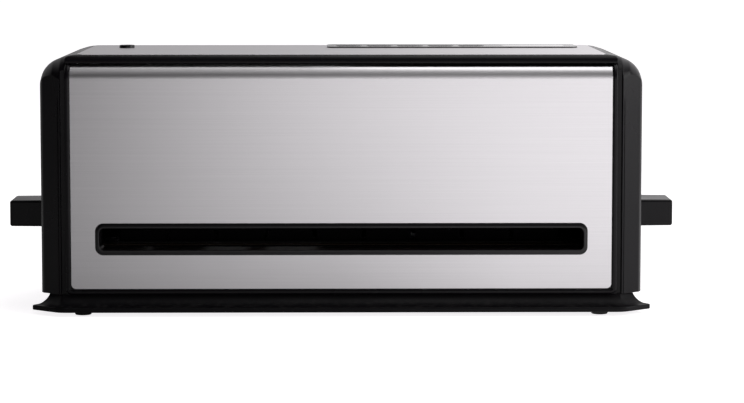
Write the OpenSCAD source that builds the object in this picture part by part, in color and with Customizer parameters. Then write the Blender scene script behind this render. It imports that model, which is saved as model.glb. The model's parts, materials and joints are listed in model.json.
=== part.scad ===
// Countertop vacuum sealer with a front bag slot and a press-down sealing jaw.
// X runs left to right, the bag slot faces -Y, Z is up, and the origin is under the middle of the feet.

/* [Body] */
// Width over the two end cheeks
body_w = 390; // [384:1:480]
// Depth from the steel front face to the rear face
body_d = 150; // [146:1:190]
// Height from the underside of the body to its flat top
body_h = 155; // [140:1:200]
// Width of each end cheek
cheek_w = 16.8; // [16:0.2:18]
// Wall of the plastic mouldings
wall = 2.4; // [1.8:0.1:3]
// Radius of the front and rear top corners of the cheeks
corner_r = 17; // [12:0.5:22]
// Crown radius of the cheeks seen from the front
crown_r = 40; // [36:1:50]
// Small radius between a cheek's crown and its side
crown_edge_r = 5; // [3:0.5:7]
// How far the bevel at a cheek's front runs back
bevel_d = 9.5; // [6:0.5:14]
// Width of the dark groove beside the front frame
groove_w = 2.6; // [1.5:0.1:3.5]
// Depth of that groove
groove_d = 2.4; // [1:0.2:4]

/* [Base] */
// Height of the rubber feet
foot_h = 2.4; // [1.5:0.1:5]
// Radius of the rubber feet
foot_r = 5.3; // [4:0.1:8]
// Distance of the feet from the middle, along X
foot_x = 167; // [150:1:172]
// How far the feet stand in from the base's front and rear edges
foot_inset = 11; // [9:0.5:16]
// Thickness of the base plate
plate_t = 3.2; // [2.4:0.1:5]
// How far the base plate reaches past each cheek
plate_side = 6; // [3:0.5:9]
// How far the base plate reaches past the front and rear faces
plate_front = 10; // [6:0.5:14]
// Radius of the base plate's corners before they are pointed
plate_r = 20; // [16:1:26]
// Length of the base plate's pointed corners, along X
ear_w = 19; // [14:0.5:24]
// Length of the base plate's pointed corners, along Y
ear_d = 15; // [12:0.5:20]
// How far the base plate's sides are waisted behind the pointed corners
waist = 6; // [2:0.2:6]
// Height of the hollow-ground skirt above the base plate
skirt_h = 7.2; // [5:0.1:10]
// Radius of the skirt's hollow curve
skirt_r = 12.5; // [11:0.5:16]

/* [Steel panels] */
// Thickness of the front steel sheet
skin = 0.6; // [0.5:0.1:1.2]
// Thickness of the top steel sheet
top_skin = 0.8; // [0.5:0.1:1.2]
// Width of the black bead around the front sheet
bead_w = 3.6; // [2.5:0.1:5]
// How far the bead stands in front of the sheet
bead_proud = 1; // [0.4:0.1:1.6]
// Radius of the roll at the top of the front sheet
roll_r = 10; // [7:0.5:13]
// Angle that the roll turns through
roll_deg = 74; // [60:1:74]
// Drop from the flat top to the start of the roll
roll_drop = 15.8; // [14:0.2:20]
// Radius of the lower corners of the front sheet
sheet_r = 3; // [1:0.5:6]
// Width of the black border on each side of the top sheet
border_side = 7; // [4:0.5:12]
// Width of the black border in front of and behind the top sheet
border_front = 4; // [3:0.5:8]
// How far the black top edge stands back from the front face
band_back = 4; // [3:0.5:7]
// Radius of the black top edge
band_r = 4.6; // [3:0.2:4.8]

/* [Bag slot] */
// Width of the slot opening
slot_w = 312.4; // [200:0.2:314]
// Height of the slot opening
slot_h = 14; // [12:0.2:18]
// Height of the slot's middle above the table
slot_z = 48.8; // [46:0.2:60]
// Corner radius of the slot opening
slot_r = 3.2; // [2:0.1:5]
// Rim of the bezel at the ends of the slot
rim_side = 2.7; // [2:0.1:6]
// Rim of the bezel above and below the slot
rim_top = 3.35; // [2.5:0.05:6]
// Wall of the bezel's throat
throat_wall = 1.4; // [1:0.1:2]
// How far the throat reaches behind the front face
throat_d = 18; // [10:0.5:18.5]

/* [Jaws] */
// Depth of both jaws, front to back
jaw_d = 48; // [46:1:54]
// How far the jaws' front stands behind the front face
jaw_back = 20; // [19:0.5:24]
// Height of the lower jaw
lower_jaw_h = 14; // [12:0.5:16]
// Height of the upper jaw beam
beam_h = 15; // [13:0.5:20]
// Gap between the bare jaws when open
jaw_gap = 13; // [12:0.2:15]
// Width of the vacuum channel
channel_w = 16; // [12:0.5:18]
// Depth of the vacuum channel in the lower jaw
channel_d = 8; // [6:0.5:9]
// Width of the gaskets' section
gasket_w = 4.4; // [3:0.2:5]
// How far each gasket stands out of its jaw
gasket_proud = 0.8; // [0.5:0.1:0.8]
// Width of the heating strip
strip_w = 4; // [2:0.5:6]
// Thickness of the heating strip
strip_t = 0.3; // [0.2:0.05:0.5]
// Thickness of the slippery tape over the strip
tape_t = 0.25; // [0.15:0.05:0.4]
// Radius of the guide rods
rod_r = 3; // [2.4:0.1:4]
// Radial play between rod and bush
rod_play = 0.05; // [0.02:0.01:0.1]
// Radius of the return springs' wire
wire_r = 0.6; // [0.4:0.1:0.8]

/* [Side grips] */
// Length of a grip outside its cheek
grip_l = 24; // [14:0.2:30]
// Depth of a grip, front to back
grip_d = 30; // [24:1:50]
// Height of a grip
grip_h = 17.6; // [15:0.2:22]
// Edge radius of a grip
grip_r = 1.8; // [1:0.2:5]
// Distance from the front face to the middle of a grip
grip_back = 62; // [60:1:66]

/* [Controls and port] */
// Width of the control panel
panel_w = 171; // [165:1:190]
// Depth of the control panel
panel_d = 41; // [36:1:48]
// X of the middle of the control panel
panel_x = 75.5; // [60:0.5:76]
// Distance from the rear face to the middle of the control panel
panel_back = 33.5; // [32:0.5:40]
// How far the control panel stands above the top sheet
panel_proud = 0.8; // [0.8:0.1:3]
// Corner radius of the control panel
panel_r = 6; // [3:0.5:10]
// Size of a button, along X
button_w = 17; // [12:0.5:19]
// Size of a button, along Y
button_d = 13; // [10:0.5:16]
// Travel of a button
button_travel = 0.8; // [0.4:0.1:1.2]
// Bore radius of the hose port
port_r = 3; // [2:0.1:3.2]
// Outer radius of the hose port's collar
port_collar_r = 5.2; // [5:0.1:7]
// How far the collar stands above the top sheet
port_proud = 2; // [1:0.1:3]

/* [Fits] */
// Gap between neighbouring mouldings
seam = 0.2; // [0.1:0.05:0.3]
// Gap around parts that slide past each other
slide_gap = 0.8; // [0.5:0.1:1.2]
// Gap around a button in its hole
button_gap = 0.3; // [0.2:0.05:0.5]
// Gap left between closed pads, so that they meet without overlap
closed_gap = 0.3; // [0.2:0.05:0.5]
// Radius of the screws' shanks
screw_r = 1.5; // [1.2:0.1:1.8]

/* [Hidden] */
$fn = 48;

eps = 0.01;

// outline of the whole body
half_w = body_w / 2;
front_y = -body_d / 2;
rear_y = body_d / 2;
floor_z = foot_h + plate_t;
body_z = floor_z + skirt_h;
top_z = body_z + body_h;
side_x = half_w - cheek_w;
mid_x = side_x - seam;
plate_x = half_w + plate_side;
plate_y = body_d / 2 + plate_front;
skirt_run = sqrt(skirt_r * skirt_r - (skirt_r - skirt_h) * (skirt_r - skirt_h));
pan_x = plate_x - skirt_run;
pan_y = plate_y - skirt_run;

// steel front sheet and its roll
sheet_x = mid_x - bead_w;
sheet_z = body_z + bead_w + seam;
roll_z = top_z - roll_drop;
roll_top = roll_z + (roll_r + bead_proud) * sin(roll_deg);
frame_y = front_y + skin + 0.1;

// top moulding
band_y = front_y + band_back;
top_frame_z = roll_top + 0.1;
frame_top = top_z - 0.2;
top_x = mid_x - border_side;
top_y = -(band_y + border_front);
top_plate_z = top_z - top_skin - 1.6;

// slot and jaws
slot_low = slot_z - slot_h / 2;
bezel_w = slot_w + 2 * rim_side;
bezel_h = slot_h + 2 * rim_top;
throat_gap = 0.3;
jaw_x = slot_w / 2 + 4.8;
jaw_y = front_y + jaw_back + jaw_d / 2;
jaw_top = slot_low + 0.2;
jaw_low = jaw_top - lower_jaw_h;
ledge_z = jaw_low - 4;
beam_z = jaw_top + jaw_gap;
beam_top = beam_z + beam_h;
strip_y = jaw_y - jaw_d / 2 + 8;
pad_w = 8;
pad_proud = 1.2;
pad_z = beam_z - pad_proud;
pad_seat = 3;
tape_z = jaw_top + strip_t;
tape_top = tape_z + tape_t;
travel = pad_z - tape_top - closed_gap;
channel_y = jaw_y + 5;
channel_x = slot_w / 2 - 8;
gasket_seat = 2;
stop_h = 6.5;
chamber_d = travel + stop_h - jaw_gap + 2;
channel_port_z = jaw_top - channel_d / 2;

// end brackets, rods and grips
bracket_t = 1.5;
bracket_x = half_w - 13.5;
bracket_foot_z = floor_z + 2.4;
bracket_top = top_z - 9.8;
bracket_y = body_d / 2 - 17;
rod_x = bracket_x - 11.5;
bush_r = rod_r + 2;
spring_r = rod_r + 1 + wire_r;
rod_low = ledge_z - bracket_t;
upper_ledge_z = beam_top + 26;
lug_x = bracket_x - 2.5;
stem_h = 11;
stem_w = 20;
stem_z = beam_z + stem_h / 2 + 0.2;
stem_y = front_y + grip_back - 5;
stem_y0 = stem_y - stem_w / 2;
stem_y1 = stem_y + stem_w / 2;
grip_y = front_y + grip_back;
shutter_t = 1.6;
shutter_x = half_w - wall - slide_gap - shutter_t;
window_low = stem_z - stem_h / 2 - travel - slide_gap;
window_high = stem_z + stem_h / 2 + slide_gap;

// controls
panel_y = rear_y - panel_back;
panel_top = top_z + panel_proud;
panel_skirt = 6;
button_pitch = 21;
button_x0 = panel_x - panel_w / 2 + 15;
button_y = panel_y - 2;
button_count = 5;
button_top = panel_top + 0.3;
button_r = 4;
lens_r = 1.2;
lens_y = panel_y + panel_d / 2 - 7;
stem_into = 2;
board_t = 1.6;
control_board_z = top_z - 16;
switch_h = 5;
switch_s = 6.4;
display_x = panel_x + 56;
display_w = 42;
display_d = 22;
display_r = 3;
display_t = 0.8;
port_x = -146;
port_y = -front_y - 50;
port_l = 12;

// pump, laid along Y with its cylinder along X
pump_x = -110;
pump_z = 42;
case_y = jaw_y + jaw_d / 2 + 5;
case_d = 22;
case_s = 36;
case_low = pump_z - case_s / 2;
motor_y = case_y + case_d;
motor_l = 46;
motor_r = 17;
crank_r = 12;
bore_r = 9.5;
piston_play = 0.08;
bore_end = pump_x + 48;
head_t = 12;
nipple_r = 2.6;
nipple_l = 6;
inlet_z = channel_port_z;
pump_mid_y = case_y + case_d / 2;
shaft_r = 2;
throw = 2.5;
eccentric_r = 6;
hose_wall = 1.2;
hose_r = nipple_r + hose_wall;
hose_turn_x = bore_end + head_t + 26;
grommet_h = 7;
pump_plate_t = 1.5;
grommet_z = case_low - pump_plate_t - grommet_h;
grommet_x = [pump_x - 22, pump_x + 42];
grommet_y = [case_y + 7, motor_y + 26];

// power board and inlet
board_x = 90;
board_y = 36;
board_w = 120;
board_d = 52;
board_z = 16;
inlet_x = 130;
inlet_low = 35;
inlet_w = 24;
inlet_h = 16;

// screw places: cheeks (Y, Z), bracket feet (Y), top frame (Y)
head_r = screw_r * 1.9;
head_h = 1.6;
boss_r = 4;
hole_play = 0.2;
head_seat = foot_h + 1.7;
boss_low = floor_z - 0.5;
cheek_screw_y = bracket_y - 8;
cheek_screw_zs = [24, bracket_top - 16];
foot_screw_y = bracket_y - 10;
foot_screw_x = bracket_x - 8;
top_screw_y = 40;
top_screw_x = bracket_x - 8;

function button_x(i) = button_x0 + i * button_pitch;

function arc(cx, cy, r, a0, a1, n) =
    [for (i = [0:n]) let (a = a0 + (a1 - a0) * i / n) [cx + r * cos(a), cy + r * sin(a)]];

// front outline of the right half: crown arc, edge arc, then straight down
function crown_line(e) =
    let (
        cx = half_w - 27,
        cz = top_z - crown_r,
        R = crown_r - e,
        r = crown_edge_r - e * 0.5,
        ex = half_w - e - r,
        rise = sqrt((R - r) * (R - r) - (ex - cx) * (ex - cx)),
        tip = atan2(rise, ex - cx)
    )
    concat(arc(ex, cz + rise, r, 0, tip, 5), arc(cx, cz, R, tip, 90, 12));

// side outline (Y, Z) with round top corners
function side_line(e) =
    concat(
        arc(rear_y - corner_r, top_z - corner_r, corner_r - e, 0, 90, 9),
        arc(front_y + corner_r, top_z - corner_r, corner_r - e, 90, 180, 9)
    );

// ---------- shared shapes ----------

module along_x(l) { rotate([90, 0, 90]) linear_extrude(l, center = true) children(); }

module along_y(l) { rotate([90, 0, 0]) linear_extrude(l, center = true) children(); }

module both_sides() {
    children();
    mirror([1, 0, 0]) children();
}

module round_rect(w, h, r) {
    square([w - 2 * r, h], center = true);
    square([w, h - 2 * r], center = true);
    for (x = [-1, 1], y = [-1, 1]) translate([x * (w / 2 - r), y * (h / 2 - r)]) circle(r);
}

module round_plate(w, d, r, z0, z1) {
    translate([0, 0, z0]) linear_extrude(z1 - z0) round_rect(w, d, r);
}

module box(x0, x1, y0, y1, z0, z1) {
    translate([x0, y0, z0]) cube([x1 - x0, y1 - y0, z1 - z0]);
}

module rod_x_way(x0, x1, y, z, r) {
    translate([x0, y, z]) rotate([0, 90, 0]) cylinder(h = x1 - x0, r = r);
}

module rod_y_way(x, y0, y1, z, r) {
    translate([x, y0, z]) rotate([-90, 0, 0]) cylinder(h = y1 - y0, r = r);
}

module rod_z_way(x, y, z0, z1, r) {
    translate([x, y, z0]) cylinder(h = z1 - z0, r = r);
}

// rounded slot block through a wall, front to back
module slot_block(w, h, r, y0, y1) {
    translate([0, (y0 + y1) / 2, slot_z]) along_y(y1 - y0) round_rect(w, h, r);
}

// flat ring with round ends, used for both gaskets and their seats
module gasket_ring(z0, z1, play) {
    w = 2 * channel_x + 2 * gasket_w + 3;
    d = channel_w + 2 * gasket_w + 3;
    translate([0, channel_y, z0]) linear_extrude(z1 - z0) difference() {
        round_rect(w + 2 * play, d + 2 * play, 6);
        round_rect(w - 2 * gasket_w - 2 * play, d - 2 * gasket_w - 2 * play, 2);
    }
}

// hole that the bezel's throat passes through, front to back
module throat_hole(y0, y1) {
    wider = 2 * (throat_wall + throat_gap);
    slot_block(slot_w + wider, slot_h + wider, slot_r + throat_wall, y0, y1);
}

module screw_up(x, y, z, l) {
    rod_z_way(x, y, z, z + l, screw_r);
    rod_z_way(x, y, z - head_h, z, head_r);
}

// smooth curve through hand-chosen points, then a round tube along it
function spline(p, k) =
    [for (i = [0:len(p) - 2], j = [0:k - 1])
        let (
            a = p[max(i - 1, 0)], b = p[i], c = p[i + 1], d = p[min(i + 2, len(p) - 1)],
            t = j / k
        )
        0.5 * (2 * b + (c - a) * t + (2 * a - 5 * b + 4 * c - d) * t * t
            + (3 * b - a - 3 * c + d) * t * t * t),
     p[len(p) - 1]];

// the same, with a straight stretch at each end so that the ends are square
function run(p, k) =
    concat([p[0]], spline([for (i = [1:len(p) - 2]) p[i]], k), [p[len(p) - 1]]);

function unit(v) = v / norm(v);

function ways(p) = [for (i = [0:len(p) - 1]) unit(p[min(i + 1, len(p) - 1)] - p[max(i - 1, 0)])];

function level(n, t) = unit(n - (n * t) * t);

function carried(t, n0) =
    [for (i = 0, n = level(n0, t[0]); i < len(t);
        i = i + 1, n = level(n, t[min(i, len(t) - 1)])) n];

module tube(p, r, n0, sides = 8) {
    t = ways(p);
    n = carried(t, n0);
    rings = [for (i = [0:len(p) - 1], k = [0:sides - 1])
        let (a = 360 * k / sides)
        p[i] + r * (cos(a) * n[i] + sin(a) * cross(t[i], n[i]))];
    walls = [for (i = [0:len(p) - 2], k = [0:sides - 1])
        let (a = i * sides + k, b = i * sides + (k + 1) % sides)
        [a, a + sides, b + sides, b]];
    ends = [
        [for (k = [0:sides - 1]) k],
        [for (k = [sides - 1:-1:0]) (len(p) - 1) * sides + k]
    ];
    polyhedron(rings, concat(walls, ends));
}

// ---------- base ----------

module skirt_half(reach) {
    difference() {
        translate([0, foot_h]) square([reach, body_z - foot_h]);
        translate([reach, floor_z + skirt_r]) circle(skirt_r);
    }
}

module skirt_full(reach) {
    skirt_half(reach);
    mirror([1, 0]) skirt_half(reach);
}

module base_block() {
    along_x(2 * (plate_x - plate_r)) skirt_full(plate_y);
    along_y(2 * (plate_y - plate_r)) skirt_full(plate_x);
    for (k = [0:3]) {
        sx = (k == 0 || k == 3) ? 1 : -1;
        sy = k < 2 ? 1 : -1;
        translate([sx * (plate_x - plate_r), sy * (plate_y - plate_r), 0])
            rotate([0, 0, 90 * k]) rotate_extrude(angle = 90) skirt_half(plate_r);
    }
}

module foot_screw_hole(y, z0, z1) {
    rod_z_way(foot_screw_x, y * foot_screw_y, z0, z1, screw_r + hole_play);
}

// plan of the base plate: pointed corners, with waisted sides between them
module base_plan() {
    tip_y = plate_y - ear_d;
    waist_x = plate_x - waist;
    waist_y = tip_y - 1.6 * waist;
    polygon([
        [plate_x - ear_w, -plate_y], [plate_x, -tip_y], [waist_x, -waist_y],
        [waist_x, waist_y], [plate_x, tip_y], [plate_x - ear_w, plate_y],
        [ear_w - plate_x, plate_y], [-plate_x, tip_y], [-waist_x, waist_y],
        [-waist_x, -waist_y], [-plate_x, -tip_y], [ear_w - plate_x, -plate_y]
    ]);
}

module base_pan() {
    color([0.05, 0.05, 0.055]) {
        difference() {
            intersection() {
                base_block();
                translate([0, 0, foot_h - 1]) linear_extrude(body_z) base_plan();
            }
            round_plate(2 * (pan_x - wall), 2 * (pan_y - wall), 6, floor_z, body_z + 1);
            both_sides() for (y = [-1, 1]) {
                foot_screw_hole(y, foot_h - 1, floor_z + 1);
                rod_z_way(foot_screw_x, y * foot_screw_y, foot_h - 1, head_seat, head_r + hole_play);
            }
        }
        // bosses under the bracket feet, the power board and the pump
        both_sides() for (y = [-1, 1]) difference() {
            rod_z_way(foot_screw_x, y * foot_screw_y, boss_low, bracket_foot_z, boss_r);
            foot_screw_hole(y, foot_h, bracket_foot_z + 1);
        }
        translate([board_x, board_y, 0]) for (x = [-1, 1], y = [-1, 1])
            rod_z_way(x * (board_w / 2 - 5), y * (board_d / 2 - 5), boss_low, board_z, 3);
        for (x = grommet_x, y = grommet_y) rod_z_way(x, y, boss_low, grommet_z, 4.5);
    }
}

module feet() {
    color([0.09, 0.09, 0.09]) for (x = [-1, 1], y = [-1, 1])
        rod_z_way(x * foot_x, y * (plate_y - foot_inset), 0, foot_h, foot_r);
}

// ---------- front ----------

// thick curved strip in the (Y, Z) plane that follows the rolled top edge
module roll_sector(outer, inner) {
    reach = 3 * roll_r;
    intersection() {
        difference() {
            circle(outer);
            circle(inner);
        }
        polygon([[0, 0], [-reach, 0], [-reach, reach], [-reach * cos(roll_deg), reach * sin(roll_deg)]]);
    }
}

module front_frame() {
    bead_y = front_y - bead_proud;
    color([0.06, 0.06, 0.065]) {
        difference() {
            union() {
                box(-mid_x, mid_x, frame_y, frame_y + wall, body_z, roll_z);
                // bead along the bottom and up both sides
                box(-mid_x, mid_x, bead_y, frame_y + eps, body_z, sheet_z - seam);
                both_sides() box(sheet_x + seam, mid_x, bead_y, frame_y + eps, body_z, roll_z);
            }
            throat_hole(frame_y - 1, frame_y + wall + 1);
        }
        // the side beads follow the roll to the top moulding
        both_sides() translate([(sheet_x + seam + mid_x) / 2, front_y + roll_r, roll_z])
            along_x(mid_x - sheet_x - seam) roll_sector(roll_r + bead_proud, roll_r - skin - 0.1 - wall);
    }
}

module front_panel() {
    back_y = front_y + skin;
    color([0.72, 0.72, 0.73]) difference() {
        union() {
            difference() {
                box(-sheet_x, sheet_x, front_y, back_y, sheet_z, roll_z);
                both_sides() translate([sheet_x - sheet_r, 0, sheet_z + sheet_r]) difference() {
                    box(0, sheet_r + 1, front_y - 1, back_y + 1, -sheet_r - 1, 0);
                    rod_y_way(0, front_y - 2, back_y + 2, 0, sheet_r);
                }
            }
            translate([0, front_y + roll_r, roll_z]) along_x(2 * sheet_x)
                roll_sector(roll_r, roll_r - skin);
        }
        throat_hole(front_y - 1, front_y + skin + 1);
    }
}

module slot_bezel() {
    color([0.04, 0.04, 0.045]) difference() {
        union() {
            slot_block(bezel_w, bezel_h, slot_r + 2, front_y - bead_proud, front_y);
            slot_block(slot_w + 2 * throat_wall, slot_h + 2 * throat_wall, slot_r + throat_wall,
                front_y - eps, front_y + throat_d);
        }
        slot_block(slot_w, slot_h, slot_r, front_y - bead_proud - 1, front_y + throat_d + 1);
    }
}

// ---------- cheeks ----------

// plan outline (X, Y) of the right cheek, drawn inwards by e
module cheek_plan(e) {
    x0 = side_x - (e > 0 ? 2 : 0);
    gx = side_x + groove_w;
    front = [
        [x0, front_y + groove_d + e],
        [gx - e * 0.4, front_y + groove_d + e],
        [gx + e * 0.9, front_y + 0.5 + e * 1.2],
        [half_w - 1.6 - e * 0.6, front_y + bevel_d + e * 0.5],
        [half_w - e, front_y + bevel_d + 3.5]
    ];
    turned = [for (i = [len(front) - 1:-1:0]) [front[i][0], -front[i][1]]];
    polygon(concat(front, turned));
}

module cheek_form(e) {
    low = body_z - (e > 0 ? 1 : 0);
    crown = crown_line(e);
    side = side_line(e);
    intersection() {
        translate([0, 0, low]) linear_extrude(body_h + 2) cheek_plan(e);
        along_y(body_d) polygon(concat([[side_x - 3, low], [half_w - e, low]], crown,
            [[side_x - 3, crown[len(crown) - 1][1]]]));
        translate([half_w - cheek_w / 2, 0, 0]) along_x(2 * cheek_w)
            polygon(concat([[front_y + e, low], [rear_y - e, low]], side));
    }
}

module cheek() {
    color([0.05, 0.05, 0.055]) {
        difference() {
            cheek_form(0);
            cheek_form(wall);
            box(shutter_x, half_w + 1, stem_y0 - slide_gap, stem_y1 + slide_gap, window_low, window_high);
        }
        // floor of the cheek, outside the bracket
        intersection() {
            cheek_form(0);
            box(bracket_x + bracket_t + 0.5, half_w, front_y, rear_y, body_z, body_z + wall);
        }
        // screw bosses that reach the bracket
        for (y = [-1, 1], z = cheek_screw_zs) difference() {
            rod_x_way(bracket_x + bracket_t, half_w - wall + 0.5, y * cheek_screw_y, z, 3.6);
            rod_x_way(bracket_x, bracket_x + bracket_t + 6, y * cheek_screw_y, z, screw_r);
        }
    }
}

module right_cheek() { cheek(); }

module left_cheek() { mirror([1, 0, 0]) cheek(); }

// ---------- top ----------

// outline (X, Z) of the body's top between the cheeks
module crown_between(low, e) {
    half = [for (p = crown_line(e)) if (p[0] < mid_x) p];
    edge_z = half[0][1] - 0.4;
    polygon(concat(
        [[-mid_x + e, low], [mid_x - e, low], [mid_x - e, edge_z]], half,
        [for (i = [len(half) - 1:-1:0]) [-half[i][0], half[i][1]]], [[-mid_x + e, edge_z]]
    ));
}

module band_outline(e, low) {
    y0 = band_y + e;
    polygon(concat(
        [[-y0, low], [-y0, frame_top - band_r]],
        arc(-y0 - band_r + e, frame_top - band_r, band_r - e, 10, 90, 6),
        arc(y0 + band_r - e, frame_top - band_r, band_r - e, 90, 170, 6),
        [[y0, frame_top - band_r], [y0, low]]
    ));
}

module top_frame() {
    inner_x = mid_x - wall;
    inner_y = -band_y - wall;
    color([0.06, 0.06, 0.065]) difference() {
        union() {
            difference() {
                intersection() {
                    along_x(2 * mid_x) band_outline(0, top_frame_z);
                    along_y(body_d) crown_between(top_frame_z, 0);
                }
                box(-inner_x, inner_x, -inner_y, inner_y, top_frame_z - 1, top_plate_z);
            }
            both_sides() for (y = [-1, 1])
                rod_z_way(top_screw_x, y * top_screw_y, bracket_top, top_plate_z + 0.5, 3.6);
        }
        round_plate(2 * top_x + 2 * seam, 2 * top_y + 2 * seam, 4, top_z - top_skin, top_z + 5);
        panel_cut(top_plate_z - 1);
        rod_z_way(port_x, port_y, top_plate_z - 1, top_z, port_r + 1.2 + seam);
        both_sides() for (y = [-1, 1])
            rod_z_way(top_screw_x, y * top_screw_y, bracket_top - 1, bracket_top + 5.6, screw_r);
    }
}

module panel_cut(z0) {
    translate([panel_x, panel_y, 0])
        round_plate(panel_w - 6 + 2 * seam, panel_d - 6 + 2 * seam, panel_r - 2, z0, top_z + 5);
}

module top_panel() {
    color([0.74, 0.74, 0.75]) difference() {
        round_plate(2 * top_x, 2 * top_y, 4, top_z - top_skin, top_z);
        panel_cut(top_z - top_skin - 1);
        rod_z_way(port_x, port_y, top_z - top_skin - 1, top_z + 1, port_r + 1.2 + seam);
    }
}

// ---------- rear ----------

module rear_cover() {
    vent_w = 3;
    vent_h = 26;
    vent_pitch = 7;
    color([0.06, 0.06, 0.065]) difference() {
        union() {
            box(-mid_x, mid_x, rear_y - wall, rear_y, body_z, roll_z);
            translate([0, rear_y - roll_r, roll_z]) mirror([0, 1, 0])
                along_x(2 * mid_x) roll_sector(roll_r, roll_r - wall);
        }
        // two rows of vents behind the pump and the power board
        for (row = [0, 1], i = [-8:8])
            translate([i * vent_pitch - 78, rear_y - wall / 2, 66 + row * 36])
                along_y(wall + 2) round_rect(vent_w, vent_h, vent_w / 2 - eps);
        translate([inlet_x, rear_y, inlet_low]) box(-inlet_w / 2, inlet_w / 2, -wall - 1, 1, 0, inlet_h);
    }
}

module power_inlet() {
    cz = inlet_low + inlet_h / 2;
    color([0.03, 0.03, 0.03]) difference() {
        union() {
            translate([inlet_x, rear_y + 0.6, cz]) along_y(1.2) round_rect(inlet_w + 5, inlet_h + 5, 3);
            box(inlet_x - inlet_w / 2 + seam, inlet_x + inlet_w / 2 - seam, rear_y - 22, rear_y + eps,
                inlet_low + seam, inlet_low + inlet_h - seam);
        }
        // figure-of-eight socket
        translate([inlet_x, rear_y - 5, cz]) along_y(16) round_rect(16.4, 8.8, 4.3);
    }
}

module inlet_pins() {
    color([0.8, 0.78, 0.7]) for (x = [-4.3, 4.3])
        rod_y_way(inlet_x + x, rear_y - 13, rear_y - 3, inlet_low + inlet_h / 2, 1.15);
}

// ---------- controls ----------

module control_panel() {
    color([0.02, 0.02, 0.022]) difference() {
        translate([panel_x, panel_y, 0]) {
            round_plate(panel_w, panel_d, panel_r, top_z, panel_top);
            round_plate(panel_w - 6, panel_d - 6, panel_r - 2, top_z - panel_skirt, top_z + eps);
        }
        translate([panel_x, panel_y, 0])
            round_plate(panel_w - 10, panel_d - 10, panel_r - 4, top_z - panel_skirt - 1, top_z - 0.6);
        for (i = [0:button_count - 1]) translate([button_x(i), button_y, 0])
            round_plate(button_w + 2 * button_gap, button_d + 2 * button_gap, button_r + button_gap,
                top_z - 2, panel_top + 1);
        for (i = [0:button_count - 1]) rod_z_way(button_x(i), lens_y, top_z - 2, panel_top + 1, lens_r);
        translate([display_x, panel_y, 0])
            round_plate(display_w, display_d, display_r, panel_top - display_t, panel_top + 1);
    }
}

module display_window() {
    color([0.10, 0.11, 0.12]) translate([display_x, panel_y, 0])
        round_plate(display_w, display_d, display_r, panel_top - display_t, panel_top);
}

module indicator_lenses() {
    color([0.75, 0.8, 0.85]) for (i = [0:button_count - 1])
        rod_z_way(button_x(i), lens_y, top_z - 2.4, panel_top, lens_r);
}

module push_button(i) {
    color([0.33, 0.34, 0.35]) translate([button_x(i), button_y, 0]) {
        round_plate(button_w, button_d, button_r, top_z - 2.2, button_top);
        rod_z_way(0, 0, control_board_z + board_t + switch_h - stem_into, top_z - 2.2 + eps, 1.7);
    }
}

module button_mode() { push_button(0); }

module button_pulse() { push_button(1); }

module button_seal() { push_button(2); }

module button_start() { push_button(3); }

module button_stop() { push_button(4); }

module control_board() {
    color([0.05, 0.25, 0.14]) {
        box(panel_x - panel_w / 2 + 4, panel_x + panel_w / 2 - 4, panel_y - 16, panel_y + 16,
            control_board_z, control_board_z + board_t);
        // posts that carry the board under the top moulding
        for (x = [-1, 1], y = [-1, 1])
            rod_z_way(panel_x + x * (panel_w / 2 - 6), panel_y + y * 13, control_board_z + board_t - eps,
                top_z - panel_skirt, 2);
    }
}

module tact_switches() {
    z0 = control_board_z + board_t;
    z1 = z0 + switch_h;
    half = switch_s / 2;
    color([0.15, 0.15, 0.16]) for (i = [0:button_count - 1]) translate([button_x(i), button_y, 0])
        difference() {
            box(-half, half, -half, half, z0, z1);
            rod_z_way(0, 0, z1 - stem_into - button_travel - 1, z1 + 1, 2);
        }
}

// open collar on the top sheet, with a barb below for its tube
module hose_port() {
    low = top_z + port_proud - port_l;
    color([0.05, 0.05, 0.055]) difference() {
        union() {
            rod_z_way(port_x, port_y, top_z, top_z + port_proud, port_collar_r);
            rod_z_way(port_x, port_y, low - 1.5, top_z + eps, port_r + 1.2);
            rod_z_way(port_x, port_y, low - 8, low - 1.5 + eps, nipple_r);
        }
        rod_z_way(port_x, port_y, low, top_z + port_proud + 1, port_r);
        rod_z_way(port_x, port_y, low - 9, low + 1, 1.4);
    }
}

// ---------- upper jaw ----------

module jaw_beam() {
    y0 = jaw_y - jaw_d / 2;
    y1 = jaw_y + jaw_d / 2;
    cells = 8;
    cell_w = (2 * jaw_x - 6) / cells;
    color([0.11, 0.11, 0.12]) difference() {
        union() {
            box(-jaw_x, jaw_x, y0, y1, beam_z, beam_top);
            both_sides() box(jaw_x - eps, lug_x, jaw_y - 14, y1, beam_z, beam_top);
        }
        // pad seat, gasket seat and vacuum chamber underneath
        box(-jaw_x - 1, jaw_x + 1, strip_y - pad_w / 2, strip_y + pad_w / 2, beam_z - 1, beam_z + pad_seat);
        gasket_ring(beam_z - 1, beam_z + gasket_seat, 0);
        box(-channel_x, channel_x, channel_y - channel_w / 2, channel_y + channel_w / 2,
            beam_z - 1, beam_z + chamber_d);
        // weight-saving cells between cross ribs on top
        for (i = [0:cells - 1]) translate([-jaw_x + 4 + i * cell_w, 0, 0])
            box(0, cell_w - 2, y0 + 3, y1 - 3, beam_z + chamber_d + 2.5, beam_top + 1);
        both_sides() rod_z_way(rod_x, jaw_y, beam_z - 1, beam_top + 1, bush_r);
    }
}

module rod_bushes() {
    color([0.85, 0.83, 0.75]) both_sides() difference() {
        rod_z_way(rod_x, jaw_y, beam_z, beam_top, bush_r);
        rod_z_way(rod_x, jaw_y, beam_z - 1, beam_top + 1, rod_r + rod_play);
    }
}

module pressure_pad() {
    color([0.75, 0.22, 0.14]) box(-jaw_x + 2, jaw_x - 2, strip_y - pad_w / 2, strip_y + pad_w / 2,
        pad_z, beam_z + pad_seat);
}

module upper_gasket() {
    color([0.2, 0.2, 0.2]) gasket_ring(beam_z - gasket_proud, beam_z + gasket_seat, 0);
}

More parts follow.
